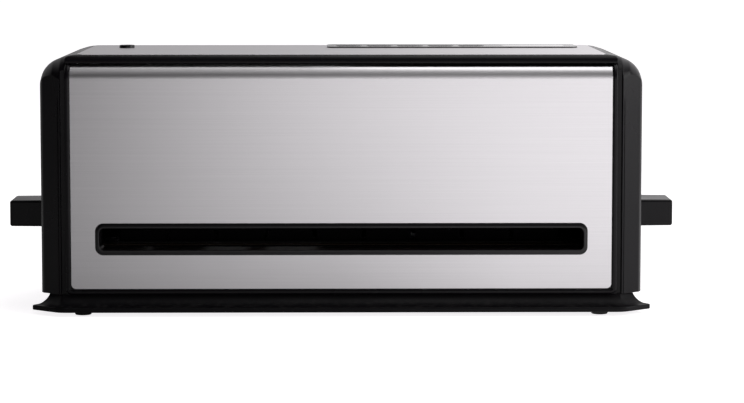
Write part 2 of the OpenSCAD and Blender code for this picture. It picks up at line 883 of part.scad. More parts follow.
module grip() {
    color([0.05, 0.05, 0.055]) {
        // stem and the shutter that closes the cheek's window from inside
        box(lug_x, half_w + 1, stem_y0, stem_y1, stem_z - stem_h / 2, stem_z + stem_h / 2);
        box(shutter_x, shutter_x + shutter_t, stem_y0 - 3, stem_y1 + 3,
            window_low - 2, window_high + travel + 2);
        // finger pad outside the cheek
        translate([half_w + 0.6, grip_y, stem_z]) rotate([90, 0, 90]) linear_extrude(grip_l)
            round_rect(grip_d, grip_h, grip_r);
    }
}

module right_grip() { grip(); }

module left_grip() { mirror([1, 0, 0]) grip(); }

module guide_rods() {
    color([0.8, 0.8, 0.82]) both_sides()
        rod_z_way(rod_x, jaw_y, rod_low, upper_ledge_z, rod_r);
}

module return_springs() {
    turns = 6;
    steps = 14;
    z0 = ledge_z + wire_r;
    rise = beam_z - wire_r - z0;
    coil = [for (i = [0:turns * steps])
        let (a = 360 * i / steps)
        [rod_x + spring_r * cos(a), jaw_y + spring_r * sin(a), z0 + rise * i / (turns * steps)]];
    color([0.7, 0.7, 0.72]) both_sides() tube(coil, wire_r - 0.02, [0, 0, 1], 6);
}

// ---------- lower jaw ----------

module lower_jaw() {
    y0 = jaw_y - jaw_d / 2;
    y1 = jaw_y + jaw_d / 2;
    color([0.12, 0.12, 0.13]) difference() {
        union() {
            box(-jaw_x, jaw_x, y0, y1, jaw_low, jaw_top);
            both_sides() box(jaw_x - 14, jaw_x, y0 + 10, y1 - 6, ledge_z, jaw_low + eps);
            rod_y_way(hose_turn_x, y1 - eps, y1 + nipple_l, channel_port_z, nipple_r);
        }
        box(-channel_x, channel_x, channel_y - channel_w / 2, channel_y + channel_w / 2,
            jaw_top - channel_d, jaw_top + 1);
        gasket_ring(jaw_top - gasket_seat, jaw_top + 1, 0);
        rod_y_way(hose_turn_x, channel_y, y1 + nipple_l + 1, channel_port_z, 1.4);
    }
}

module heater_strip() {
    color([0.75, 0.72, 0.68]) box(-slot_w / 2, slot_w / 2, strip_y - strip_w / 2, strip_y + strip_w / 2,
        jaw_top, jaw_top + strip_t);
}

module heater_tape() {
    color([0.55, 0.42, 0.28]) box(-slot_w / 2, slot_w / 2, strip_y - 6, strip_y + 4, tape_z, tape_top);
}

module lower_gasket() {
    color([0.2, 0.2, 0.2]) gasket_ring(jaw_top - gasket_seat, jaw_top + gasket_proud, 0);
}

module heater_terminals() {
    color([0.8, 0.7, 0.4]) both_sides() {
        box(jaw_x, jaw_x + 1, strip_y - 3, strip_y + 3, jaw_low - 6, jaw_top + strip_t);
        box(slot_w / 2, jaw_x + eps, strip_y - 3, strip_y + 3, jaw_top, jaw_top + strip_t);
    }
}

// comb along the back of the channel, with gaps that let the air past
module bag_stop() {
    teeth = 9;
    gap = 3;
    pitch = 2 * (channel_x - 1) / teeth;
    y1 = channel_y + channel_w / 2 - 2;
    color([0.2, 0.2, 0.21]) for (i = [0:teeth - 1])
        box(-channel_x + 1 + i * pitch, -channel_x + 1 + (i + 1) * pitch - gap, y1 - 1.6, y1,
            jaw_top - channel_d, jaw_top + stop_h);
}

// ---------- end brackets ----------

module bracket() {
    x1 = bracket_x;
    x2 = bracket_x + bracket_t;
    ledge_x = jaw_x - 14;
    foot_top = bracket_foot_z + bracket_t;
    top_low = bracket_top - bracket_t;
    color([0.66, 0.67, 0.69]) difference() {
        union() {
            box(x1, x2, -bracket_y, bracket_y, bracket_foot_z, bracket_top);
            box(x1 - 16, x1 + eps, -bracket_y, bracket_y, bracket_foot_z, foot_top);
            box(x1 - 16, x1 + eps, -bracket_y + 6, bracket_y - 6, top_low, bracket_top);
            box(ledge_x, x1 + eps, jaw_y - 13, jaw_y + jaw_d / 2 - 6, ledge_z - bracket_t, ledge_z);
            box(x1 - 22, x1 + eps, jaw_y - 13, jaw_y + 13, upper_ledge_z - bracket_t, upper_ledge_z);
        }
        box(x1 - 1, x2 + 1, stem_y0 - slide_gap, stem_y1 + slide_gap, window_low, window_high);
        rod_z_way(rod_x, jaw_y, rod_low - 1, upper_ledge_z + 1, rod_r);
        for (y = [-1, 1]) {
            rod_z_way(foot_screw_x, y * foot_screw_y, bracket_foot_z - 1, foot_top + 1, screw_r);
            rod_z_way(top_screw_x, y * top_screw_y, top_low - 1, bracket_top + 1, screw_r + hole_play);
            for (z = cheek_screw_zs) rod_x_way(x1 - 1, x2 + 1, y * cheek_screw_y, z, screw_r + hole_play);
        }
    }
}

module right_bracket() { bracket(); }

module left_bracket() { mirror([1, 0, 0]) bracket(); }

module jaw_switch() {
    x1 = bracket_x - 0.2;
    y0 = jaw_y + jaw_d / 2 + 4;
    color([0.1, 0.1, 0.1]) {
        box(x1 - 6, x1 + 0.2, y0, y0 + 20, 36, 46);
        box(x1 - 4, x1 - 2, y0 + 2, y0 + 18, 46, 47.2);
    }
}

// ---------- pump ----------

module pump_motor() {
    color([0.7, 0.7, 0.7]) difference() {
        union() {
            rod_y_way(pump_x, motor_y + eps, motor_y + motor_l, pump_z, motor_r);
            rod_y_way(pump_x, motor_y + motor_l - eps, motor_y + motor_l + 2, pump_z, 6);
        }
        rod_y_way(pump_x, motor_y - 1, motor_y + 10, pump_z, shaft_r + rod_play);
    }
}

module motor_shaft() {
    color([0.8, 0.8, 0.82]) rod_y_way(pump_x, case_y + 4, motor_y + 9, pump_z, shaft_r);
}

module eccentric() {
    color([0.75, 0.65, 0.35]) difference() {
        rod_y_way(pump_x, case_y + 5, case_y + 15, pump_z - throw, eccentric_r);
        rod_y_way(pump_x, case_y + 4, case_y + 16, pump_z, shaft_r);
    }
}

module pump_case() {
    color([0.18, 0.18, 0.19]) difference() {
        union() {
            box(pump_x - case_s / 2, pump_x + case_s / 2, case_y, motor_y, case_low, case_low + case_s);
            rod_x_way(pump_x, bore_end, pump_mid_y, pump_z, bore_r + 1.5);
        }
        rod_y_way(pump_x, case_y + 2.5, motor_y - 3, pump_z, crank_r);
        rod_y_way(pump_x, case_y + 5, motor_y + 1, pump_z, shaft_r + rod_play);
        rod_x_way(pump_x, bore_end + 1, pump_mid_y, pump_z, bore_r);
    }
}

module pump_piston() {
    foot = pump_x + eccentric_r + throw + 3.5;
    skirt_x = pump_x + 26;
    color([0.85, 0.85, 0.82]) {
        rod_x_way(skirt_x, skirt_x + 8, pump_mid_y, pump_z, bore_r - piston_play);
        box(foot, skirt_x + eps, pump_mid_y - 3, pump_mid_y + 3, pump_z - 3, pump_z + 3);
    }
}

module pump_head() {
    x1 = bore_end + head_t;
    color([0.2, 0.2, 0.21]) difference() {
        union() {
            box(bore_end, x1, case_y, motor_y, pump_z - 14, pump_z + 14);
            for (z = [inlet_z, inlet_z + 9]) rod_x_way(x1 - eps, x1 + nipple_l, pump_mid_y, z, nipple_r);
        }
        for (z = [inlet_z, inlet_z + 9]) rod_x_way(bore_end - 1, x1 + nipple_l + 1, pump_mid_y, z, 1.4);
    }
}

module pump_bracket() {
    color([0.66, 0.67, 0.69]) {
        box(grommet_x[0] - 5, grommet_x[1] + 5, case_y + 1, grommet_y[1] + 6,
            case_low - pump_plate_t, case_low);
        // cradle plate that rises to the motor's underside
        box(pump_x - 12, pump_x + 12, motor_y + 20, motor_y + 24, case_low - eps, pump_z - motor_r);
    }
}

module pump_grommets() {
    color([0.08, 0.08, 0.08]) for (x = grommet_x, y = grommet_y)
        rod_z_way(x, y, grommet_z, grommet_z + grommet_h, 4);
}

module valve_block() {
    z0 = case_low + case_s;
    color([0.85, 0.85, 0.85]) difference() {
        union() {
            box(pump_x - 12, pump_x + 12, case_y + 2, motor_y - 2, z0, z0 + 14);
            rod_z_way(pump_x, pump_mid_y, z0 + 14 - eps, z0 + 20, nipple_r);
        }
        rod_z_way(pump_x, pump_mid_y, z0 + 4, z0 + 21, 1.4);
    }
}

module vacuum_sensor() {
    z0 = case_low + case_s;
    color([0.2, 0.3, 0.55]) rod_x_way(pump_x + 12, pump_x + 20, pump_mid_y, z0 + 7, 5);
}

// ---------- hoses and cable ----------

module hose_bend(inner) {
    bend = 10;
    x1 = bore_end + head_t;
    y1 = jaw_y + jaw_d / 2;
    rod_x_way(x1, hose_turn_x - bend, pump_mid_y, inlet_z, inner);
    translate([hose_turn_x - bend, pump_mid_y - bend, inlet_z]) rotate_extrude(angle = 90)
        translate([bend, 0]) circle(inner);
    rod_y_way(hose_turn_x, y1, pump_mid_y - bend, inlet_z, inner);
}

module vacuum_hose() {
    color([0.78, 0.78, 0.76]) difference() {
        hose_bend(hose_r);
        hose_bend(nipple_r);
    }
}

module port_tube() {
    z1 = top_z + port_proud - port_l - 8;
    z0 = case_low + case_s + 20;
    route = [
        [port_x, port_y, z1], [port_x, port_y, z1 - 8], [port_x + 2, port_y, z1 - 26],
        [pump_x - 12, (port_y + pump_mid_y) / 2, z0 + 22], [pump_x, pump_mid_y, z0 + 6],
        [pump_x, pump_mid_y, z0]
    ];
    color([0.78, 0.78, 0.76]) tube(run(route, 6), hose_r, [1, 0, 0], 10);
}

module panel_cable() {
    z1 = control_board_z;
    z0 = board_z + board_t;
    route = [
        [board_x - 14, board_y, z0], [board_x - 14, board_y, z0 + 10], [board_x - 18, board_y - 4, z0 + 50],
        [board_x - 14, panel_y, z1 - 30], [board_x - 14, panel_y, z1 - 8],
        [board_x - 14, panel_y, z1]
    ];
    color([0.6, 0.6, 0.62]) tube(run(route, 6), 2, [1, 0, 0], 8);
}

// ---------- power ----------

module power_board() {
    color([0.08, 0.3, 0.16]) box(board_x - board_w / 2, board_x + board_w / 2, board_y - board_d / 2,
        board_y + board_d / 2, board_z, board_z + board_t);
}

module transformer() {
    z0 = board_z + board_t;
    color([0.35, 0.33, 0.3]) {
        box(board_x + 16, board_x + 54, board_y - 22, board_y + 8, z0, z0 + 6);
        box(board_x + 16, board_x + 54, board_y - 22, board_y + 8, z0 + 22, z0 + 28);
        box(board_x + 22, board_x + 48, board_y - 18, board_y + 4, z0 + 6 - eps, z0 + 22 + eps);
    }
}

module capacitors() {
    z0 = board_z + board_t;
    color([0.1, 0.12, 0.25]) for (i = [0:2])
        rod_z_way(board_x - 48 + i * 14, board_y + 14, z0, z0 + 22 - 3 * i, 6 - 0.5 * i);
}

module heat_sink() {
    z0 = board_z + board_t;
    fins = 6;
    pitch = 5.2;
    color([0.6, 0.6, 0.62]) translate([board_x - 54, board_y, 0]) {
        box(0, 28, -20, -17, z0, z0 + 24);
        for (i = [0:fins - 1]) box(i * pitch, i * pitch + 2, -17 - eps, -9, z0 + 2, z0 + 24);
    }
}

// ---------- fasteners ----------

module base_screws() {
    color([0.5, 0.5, 0.5]) both_sides() for (y = [-1, 1])
        screw_up(foot_screw_x, y * foot_screw_y, head_seat, bracket_foot_z + bracket_t - foot_h - 0.2);
}

module cheek_screws() {
    color([0.5, 0.5, 0.5]) both_sides() for (y = [-1, 1], z = cheek_screw_zs) {
        rod_x_way(bracket_x - eps, bracket_x + bracket_t + 6, y * cheek_screw_y, z, screw_r);
        rod_x_way(bracket_x - head_h, bracket_x, y * cheek_screw_y, z, head_r);
    }
}

module top_screws() {
    color([0.5, 0.5, 0.5]) both_sides() for (y = [-1, 1])
        screw_up(top_screw_x, y * top_screw_y, bracket_top - bracket_t, bracket_t + 5.4);
}

base_pan();
feet();
front_frame();
front_panel();
slot_bezel();
left_cheek();
right_cheek();
top_frame();
top_panel();
rear_cover();
control_panel();
display_window();
hose_port();
button_mode();
button_pulse();
button_seal();
button_start();
button_stop();
indicator_lenses();
control_board();
tact_switches();
jaw_beam();
left_grip();
right_grip();
pressure_pad();
upper_gasket();
rod_bushes();
guide_rods();
return_springs();
lower_jaw();
heater_strip();
heater_tape();
lower_gasket();
heater_terminals();
bag_stop();
left_bracket();
right_bracket();
pump_motor();
motor_shaft();
eccentric();
pump_case();
pump_piston();
pump_head();
pump_bracket();
pump_grommets();
valve_block();
vacuum_sensor();
vacuum_hose();
port_tube();
power_board();
transformer();
capacitors();
heat_sink();
power_inlet();
inlet_pins();
jaw_switch();
panel_cable();
base_screws();
cheek_screws();
top_screws();
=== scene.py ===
import bpy
import bmesh
import json
import math
import numpy as np
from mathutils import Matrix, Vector


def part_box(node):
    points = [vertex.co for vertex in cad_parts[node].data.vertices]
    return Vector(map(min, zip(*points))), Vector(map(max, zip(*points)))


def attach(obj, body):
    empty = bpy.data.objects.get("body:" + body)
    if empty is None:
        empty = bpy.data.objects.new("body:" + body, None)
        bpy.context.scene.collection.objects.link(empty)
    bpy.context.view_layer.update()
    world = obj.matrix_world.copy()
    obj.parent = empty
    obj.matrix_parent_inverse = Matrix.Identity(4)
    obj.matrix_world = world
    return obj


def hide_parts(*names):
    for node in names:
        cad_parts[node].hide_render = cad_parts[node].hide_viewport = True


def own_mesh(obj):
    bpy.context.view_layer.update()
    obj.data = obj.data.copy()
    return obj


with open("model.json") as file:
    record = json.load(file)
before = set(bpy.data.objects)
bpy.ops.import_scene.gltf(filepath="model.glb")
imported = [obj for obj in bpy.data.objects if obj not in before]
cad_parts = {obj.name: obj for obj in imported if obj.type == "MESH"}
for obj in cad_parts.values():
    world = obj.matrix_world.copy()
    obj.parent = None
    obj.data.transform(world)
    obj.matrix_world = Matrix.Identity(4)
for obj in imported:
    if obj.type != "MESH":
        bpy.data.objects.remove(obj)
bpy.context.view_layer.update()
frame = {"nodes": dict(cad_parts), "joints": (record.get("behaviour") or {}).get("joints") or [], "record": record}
scene = bpy.context.scene
mm = 0.001


def roundRings(halfA, halfB, radius, steps=8):
    # one rounded rectangle per row: four quarter circles about the corner centres
    halfA, halfB, radius = np.broadcast_arrays(
        *[np.atleast_1d(np.asarray(value, float)) for value in (halfA, halfB, radius)])
    turn = np.linspace(0, math.pi / 2, steps + 1)
    parts = []
    for k, (sideA, sideB) in enumerate([(1, 1), (-1, 1), (-1, -1), (1, -1)]):
        angle = turn + k * math.pi / 2
        a = (sideA * (halfA - radius))[:, None] + radius[:, None] * np.cos(angle)
        b = (sideB * (halfB - radius))[:, None] + radius[:, None] * np.sin(angle)
        parts.append(np.stack([a, b], -1))
    return np.concatenate(parts, 1)


def roundedPath(corners, radii, steps=5):
    # a polyline whose corners are replaced by arcs tangent to both sides
    corners = np.asarray(corners, float)
    out = [corners[:1]]
    for i in range(1, len(corners) - 1):
        before, here, after = corners[i - 1], corners[i], corners[i + 1]
        inWay = (here - before) / np.linalg.norm(here - before)
        outWay = (after - here) / np.linalg.norm(after - here)
        turn = math.acos(float(np.clip(inWay @ outWay, -1, 1)))
        radius = radii[i]
        if radius <= 0 or turn < 1e-3:
            out.append(here[None])
            continue
        t = np.linspace(-turn / 2, turn / 2, steps + 1)[:, None]
        bisector = (outWay - inWay) / np.linalg.norm(outWay - inWay)
        along = (inWay + outWay) / np.linalg.norm(inWay + outWay)
        centre = here + bisector * (radius / math.cos(turn / 2))
        out.append(centre + radius * (np.sin(t) * along - np.cos(t) * bisector))
    out.append(corners[-1:])
    return np.concatenate(out)


def surface(name, grids, facing=None, weld=2e-6, smoothAngle=40):
    # each grid is rows x columns x (x, y, z) and becomes quads; a closed grid joins its last column
    # to its first, and grids join each other where their edges meet
    points, quads, start = [], [], 0
    for grid, closed in grids:
        rows, columns = grid.shape[:2]
        index = start + np.arange(rows * columns).reshape(rows, columns)
        here = index if closed else index[:, :-1]
        beside = np.roll(index, -1, axis=1) if closed else index[:, 1:]
        quads.append(np.stack([here[:-1], beside[:-1], beside[1:], here[1:]], -1).reshape(-1, 4))
        points.append(grid.reshape(-1, 3))
        start += rows * columns
    mesh = bpy.data.meshes.new(name)
    mesh.from_pydata(np.concatenate(points).tolist(), [], np.concatenate(quads).tolist())
    work = bmesh.new()
    work.from_mesh(mesh)
    bmesh.ops.remove_doubles(work, verts=work.verts, dist=weld)
    bmesh.ops.dissolve_degenerate(work, edges=work.edges, dist=weld)
    bmesh.ops.recalc_face_normals(work, faces=work.faces)
    if facing is not None:
        hint = Vector(facing)
        if sum(face.normal.dot(hint) * face.calc_area() for face in work.faces) < 0:
            bmesh.ops.reverse_faces(work, faces=work.faces)
    work.to_mesh(mesh)
    work.free()
    piece = bpy.data.objects.new(name, mesh)
    scene.collection.objects.link(piece)
    shade(piece, smoothAngle)
    return piece


def shade(piece, smoothAngle=40):
    piece.data.shade_smooth()
    piece.data.set_sharp_from_angle(angle=math.radians(smoothAngle))


def solid(piece, thickness, smoothAngle=40):
    # gives a sheet its wall behind the outer face, and keeps the result as the piece's mesh
    wall = piece.modifiers.new("wall", "SOLIDIFY")
    wall.thickness = thickness
    wall.offset = -1
    old = piece.data
    seen = piece.evaluated_get(bpy.context.evaluated_depsgraph_get())
    piece.data = bpy.data.meshes.new_from_object(seen)
    piece.modifiers.clear()
    bpy.data.meshes.remove(old)
    shade(piece, smoothAngle)


def place(points2, height, axes, centre):
    # turns rings (a, b) at a height into x, y, z: axes names where a, b and the height go, such as "xyz"
    height = np.broadcast_to(np.asarray(height, float)[:, None], points2.shape[:2])
    out = np.zeros(points2.shape[:2] + (3,))
    for value, axis in zip((points2[..., 0], points2[..., 1], height), axes):
        out[..., "xyz".index(axis)] = value
    return out + np.asarray(centre, float)


def stacked(halfA, halfB, radius, path, axes="xyz", centre=(0, 0, 0), steps=8):
    # rounded rectangles stacked along a path of (inset, height), so an edge's section is the path itself
    path = np.asarray(path, float)
    inset = path[:, 0]
    least = 0.02 * mm
    a = np.maximum(halfA - inset, least)
    b = np.maximum(halfB - inset, least)
    r = np.minimum(np.maximum(radius - inset, 0.3 * mm), np.minimum(a, b))
    return place(roundRings(a, b, r, steps), path[:, 1], axes, centre), True


def finish(piece, body, slotName, material, *replaced):
    piece.data.materials.clear()
    piece.data.materials.append(material)
    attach(piece, body)
    if replaced:
        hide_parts(*replaced)
    if not any(made.type == "WEIGHTED_NORMAL" for made in piece.modifiers):
        flat = piece.modifiers.new("flatFaces", "WEIGHTED_NORMAL")
        flat.keep_sharp = True
    return piece


def joined(name, pieces):
    # one object from several closed shells
    work = bmesh.new()
    for piece in pieces:
        work.from_mesh(piece.data)
    mesh = bpy.data.meshes.new(name)
    work.to_mesh(mesh)
    work.free()
    for piece in pieces:
        old = piece.data
        bpy.data.objects.remove(piece)
        bpy.data.meshes.remove(old)
    out = bpy.data.objects.new(name, mesh)
    scene.collection.objects.link(out)
    return out


class Shader:
    # a material with short ways to add and link nodes
    def __init__(self, name, tree=None):
        if tree is None:
            self.material = bpy.data.materials.new(name)
            self.material.use_nodes = True
            tree = self.material.node_tree
            tree.nodes.clear()
        self.tree = tree

    def node(self, kind, inputs=None, **settings):
        made = self.tree.nodes.new(kind)
        for key, value in settings.items():
            setattr(made, key, value)
        for key, value in (inputs or {}).items():
            if isinstance(value, bpy.types.NodeSocket):
                self.tree.links.new(value, made.inputs[key])
            else:
                made.inputs[key].default_value = value
        return made

    def math(self, operation, first, second=0.0):
        return self.node("ShaderNodeMath", {0: first, 1: second}, operation=operation).outputs[0]

    def noise(self, where, scale, detail):
        sockets = {"Vector": where, "Scale": scale, "Detail": detail}
        return self.node("ShaderNodeTexNoise", sockets).outputs[0]

    def ramp(self, value, low, high, newLow=0.0, newHigh=1.0):
        made = self.node("ShaderNodeMapRange", {"Value": value, "From Min": low, "From Max": high,
                                                 "To Min": newLow, "To Max": newHigh})
        return made.outputs["Result"]

    def mix(self, factor, first, second):
        made = self.node("ShaderNodeMix", {"Factor": factor}, data_type="RGBA")
        for key, value in ((6, first), (7, second)):
            if isinstance(value, bpy.types.NodeSocket):
                self.tree.links.new(value, made.inputs[key])
            else:
                made.inputs[key].default_value = (*value[:3], 1)
        return made.outputs[2]


def effect(name, inputs, outputs):
    # an empty node group with named sockets
    tree = bpy.data.node_groups.new(name, "ShaderNodeTree")
    for key, kind, value in inputs:
        socket = tree.interface.new_socket(key, in_out="INPUT", socket_type=kind)
        if value is not None:
            socket.default_value = value
    for key, kind in outputs:
        tree.interface.new_socket(key, in_out="OUTPUT", socket_type=kind)
    build = Shader(name, tree)
    return tree, build, build.node("NodeGroupInput"), build.node("NodeGroupOutput")


streak = {"fine": (9, 5200, 5200), "broad": (3, 900, 900), "fineShare": 0.65, "broadShare": 0.35}
grainShape = {"pebbleShare": 0.6, "fuzzShare": 0.4, "patches": 22.0}
dustShape = {"specks": 260.0, "upFrom": 0.55, "speckFrom": 0.45, "speckTo": 0.75}


def brushedEffect():
    # long thin streaks: noise stretched along X, at two finenesses
    tree, s, given, result = effect(
        "brushedLines",
        [("Position", "NodeSocketVector", None), ("Fineness", "NodeSocketFloat", 1.0)],
        [("Streaks", "NodeSocketFloat")])
    where, fineness = given.outputs["Position"], given.outputs["Fineness"]
    fine = s.node("ShaderNodeVectorMath", {0: where, 1: streak["fine"]}, operation="MULTIPLY").outputs[0]
    broad = s.node("ShaderNodeVectorMath", {0: where, 1: streak["broad"]}, operation="MULTIPLY").outputs[0]
    both = s.math("ADD", s.math("MULTIPLY", s.noise(fine, fineness, 3.0), streak["fineShare"]),
                  s.math("MULTIPLY", s.noise(broad, fineness, 2.0), streak["broadShare"]))
    s.tree.links.new(both, result.inputs["Streaks"])
    return tree


def mouldedEffect():
    # fine pebbled texture of a moulded surface, with slow patches of handling
    tree, s, given, result = effect(
        "mouldedGrain",
        [("Position", "NodeSocketVector", None), ("Grain", "NodeSocketFloat", 1500.0)],
        [("Height", "NodeSocketFloat"), ("Patches", "NodeSocketFloat")])
    where, grain = given.outputs["Position"], given.outputs["Grain"]
    pebble = s.node("ShaderNodeTexVoronoi", {"Vector": where, "Scale": grain}).outputs["Distance"]
    fuzz = s.noise(where, grain, 2.0)
    height = s.math("ADD", s.math("MULTIPLY", pebble, grainShape["pebbleShare"]),
                    s.math("MULTIPLY", fuzz, grainShape["fuzzShare"]))
    s.tree.links.new(height, result.inputs["Height"])
    s.tree.links.new(s.noise(where, grainShape["patches"], 3.0), result.inputs["Patches"])
    return tree


def dustEffect():
    # a thin film that settles where a surface looks up
    tree, s, given, result = effect(
        "restingDust", [("Position", "NodeSocketVector", None)], [("Film", "NodeSocketFloat")])
    normal = s.node("ShaderNodeNewGeometry").outputs["Normal"]
    upward = s.node("ShaderNodeSeparateXYZ", {0: normal}).outputs["Z"]
    specks = s.noise(given.outputs["Position"], dustShape["specks"], 4.0)
    film = s.math("MULTIPLY", s.ramp(upward, dustShape["upFrom"], 1.0),
                  s.ramp(specks, dustShape["speckFrom"], dustShape["speckTo"]))
    s.tree.links.new(film, result.inputs["Film"])
    return tree


brushedLines = brushedEffect()
mouldedGrain = mouldedEffect()
restingDust = dustEffect()


def objectPosition(s):
    return s.node("ShaderNodeTexCoord").outputs["Object"]


def useGroup(s, tree, inputs):
    return s.node("ShaderNodeGroup", inputs, node_tree=tree)


def endMaterial(s, shader):
    output = s.node("ShaderNodeOutputMaterial")
    s.tree.links.new(shader.outputs[0], output.inputs["Surface"])
    return s.material


def endPrincipled(s, tone, rough, height, depth, more):
    bump = s.node("ShaderNodeBump", {"Height": height, "Strength": 1.0, "Distance": depth * mm})
    sockets = {"Base Color": tone, "Roughness": rough, "Normal": bump.outputs[0], **more}
    return endMaterial(s, s.node("ShaderNodeBsdfPrincipled", sockets))


def plastic(name, colour, roughness, grain=1500.0, depth=0.02, coat=0.0, dust=0.05, patch=0.06, shine=0.2):
    s = Shader(name)
    where = objectPosition(s)
    grainNode = useGroup(s, mouldedGrain, {"Position": where, "Grain": grain})
    dustNode = useGroup(s, restingDust, {"Position": where})
    patches = grainNode.outputs["Patches"]
    tone = s.mix(s.math("MULTIPLY", dustNode.outputs["Film"], dust), colour, (0.32, 0.31, 0.3))
    tone = s.mix(s.ramp(patches, 0.35, 0.7, 0, 0.35), tone, [c * 0.72 for c in colour])
    rough = s.ramp(patches, 0.3, 0.7, roughness - patch, roughness + patch)
    gloss = {"Specular IOR Level": shine, "Coat Weight": coat, "Coat Roughness": 0.08}
    return endPrincipled(s, tone, rough, grainNode.outputs["Height"], depth, gloss)


def brushedSteel(name, colour, roughness, axis, spread=0.75, depth=0.004, fineness=1.0):
    s = Shader(name)
    lines = useGroup(s, brushedLines, {"Position": objectPosition(s), "Fineness": fineness})
    streaks = lines.outputs["Streaks"]
    dark, light = [c * 0.96 for c in colour], [min(1, c * 1.03) for c in colour]
    tone = s.mix(s.ramp(streaks, 0.38, 0.62), dark, light)
    rough = s.ramp(streaks, 0.35, 0.65, roughness - 0.015, roughness + 0.02)
    tangent = s.node("ShaderNodeTangent", direction_type="RADIAL", axis=axis)
    brushed = {"Metallic": 1.0, "Anisotropic": spread, "Anisotropic Rotation": 0.25,
               "Tangent": tangent.outputs[0]}
    return endPrincipled(s, tone, rough, streaks, depth, brushed)


def plainMetal(name, colour, roughness, grain=900.0, depth=0.004):
    s = Shader(name)
    grainNode = useGroup(s, mouldedGrain, {"Position": objectPosition(s), "Grain": grain})
    patches = grainNode.outputs["Patches"]
    tone = s.mix(s.ramp(patches, 0.3, 0.7), [c * 0.85 for c in colour], colour)
    rough = s.ramp(patches, 0.3, 0.7, roughness - 0.06, roughness + 0.08)
    return endPrincipled(s, tone, rough, grainNode.outputs["Height"], depth, {"Metallic": 1.0})


blackMoulding = plastic("blackMoulding", (0.0048, 0.0041, 0.0052), 0.30, 1500, 0.008, shine=0.15)
blackBead = plastic("blackBead", (0.0048, 0.0041, 0.0052), 0.26, 2200, 0.006, shine=0.13)
baseMoulding = plastic("baseMoulding", (0.0036, 0.0031, 0.0040), 0.4, 1300, 0.010, shine=0.11)
bezelBlack = plastic("bezelBlack", (0.0044, 0.0038, 0.0047), 0.32, 2200, 0.003, patch=0.01, shine=0.32)
glossPanel = plastic("glossPanel", (0.005, 0.0045, 0.0055), 0.16, 3000, 0.002, coat=0.4, patch=0.02)
buttonGrey = plastic("buttonGrey", (0.06, 0.06, 0.062), 0.22, 2000, 0.004, coat=0.3, patch=0.02)
smokedWindow = plastic("smokedWindow", (0.014, 0.016, 0.019), 0.08, 3000, 0.001, coat=1.0, patch=0.02)
lensClear = plastic("lensClear", (0.5, 0.55, 0.6), 0.2, 3000, 0.002, coat=0.5)
footRubber = plastic("footRubber", (0.022, 0.022, 0.022), 0.75, 900, 0.03)
jawBlack = plastic("jawBlack", (0.006, 0.0055, 0.0065), 0.7, 1400, 0.02, shine=0.02)
padSilicone = plastic("padSilicone", (0.2, 0.03, 0.02), 0.6, 1100, 0.015)
gasketFoam = plastic("gasketFoam", (0.02, 0.02, 0.02), 0.85, 700, 0.05)
acetal = plastic("acetal", (0.62, 0.6, 0.52), 0.45)
pumpBlack = plastic("pumpBlack", (0.022, 0.022, 0.023), 0.55, 1000, 0.03)
whiteMoulding = plastic("whiteMoulding", (0.6, 0.6, 0.57), 0.45)
sensorBlue = plastic("sensorBlue", (0.03, 0.07, 0.2), 0.4)
hoseSilicone = plastic("hoseSilicone", (0.5, 0.5, 0.47), 0.35, 900, 0.01)
boardGreen = plastic("boardGreen", (0.008, 0.08, 0.035), 0.3, 500, 0.03)
capacitorSleeve = plastic("capacitorSleeve", (0.015, 0.025, 0.1), 0.25)
cableGrey = plastic("cableGrey", (0.25, 0.25, 0.26), 0.5)
# brown tape cloth made near-black: painted shade for the inside of the slot
tapeClothPaintedShade = plastic("tapeClothPaintedShade", (0.05, 0.035, 0.022), 0.6, 2600, 0.03, shine=0.1)
frontSteel = brushedSteel("frontSteel", (0.665, 0.65, 0.665), 0.30, "Z", depth=0.0012)
topSteel = brushedSteel("topSteel", (0.665, 0.65, 0.665), 0.30, "Y", depth=0.0012)
heatingMetal = plainMetal("heatingMetal", (0.5, 0.46, 0.4), 0.35)
brassMetal = plainMetal("brassMetal", (0.62, 0.46, 0.2), 0.3)
zincSheet = plainMetal("zincSheet", (0.52, 0.53, 0.55), 0.38)
rodSteel = plainMetal("rodSteel", (0.6, 0.6, 0.61), 0.15)
springWire = plainMetal("springWire", (0.42, 0.42, 0.43), 0.3)
motorCan = plainMetal("motorCan", (0.45, 0.45, 0.46), 0.42)
coreSteel = plainMetal("coreSteel", (0.12, 0.11, 0.1), 0.6, 400, 0.05)
sinkAluminium = plainMetal("sinkAluminium", (0.6, 0.6, 0.61), 0.4)
pinMetal = plainMetal("pinMetal", (0.66, 0.62, 0.52), 0.2)
screwSteel = plainMetal("screwSteel", (0.42, 0.42, 0.43), 0.35)

slotMaterial = {
    "cheek_plastic": blackMoulding, "frame_plastic": blackBead, "base_plastic": baseMoulding,
    "brushed_panel": topSteel, "bezel_plastic": bezelBlack, "panel_gloss": glossPanel,
    "button_plastic": buttonGrey, "window_plastic": smokedWindow, "lens_plastic": lensClear,
    "foot_rubber": footRubber, "jaw_plastic": jawBlack, "pad_silicone": padSilicone,
    "gasket_foam": gasketFoam, "heating_metal": heatingMetal, "tape_fabric": tapeClothPaintedShade,
    "brass_terminal": brassMetal, "zinc_sheet": zincSheet, "rod_steel": rodSteel,
    "spring_steel": springWire, "bush_plastic": acetal, "motor_can": motorCan,
    "pump_plastic": pumpBlack, "white_plastic": whiteMoulding, "sensor_plastic": sensorBlue,
    "clear_hose": hoseSilicone, "circuit_board": boardGreen, "switch_plastic": jawBlack,
    "core_metal": coreSteel, "capacitor_sleeve": capacitorSleeve, "heat_sink_metal": sinkAluminium,
    "inlet_plastic": bezelBlack, "pin_metal": pinMetal, "ribbon_sleeve": cableGrey,
    "screw_steel": screwSteel,
}
for entry in frame["record"]["subparts"]:
    held = frame["nodes"][entry["node"]]
    held.data.materials.clear()
    held.data.materials.append(slotMaterial[entry["material_slot"]])
print("materials ready")


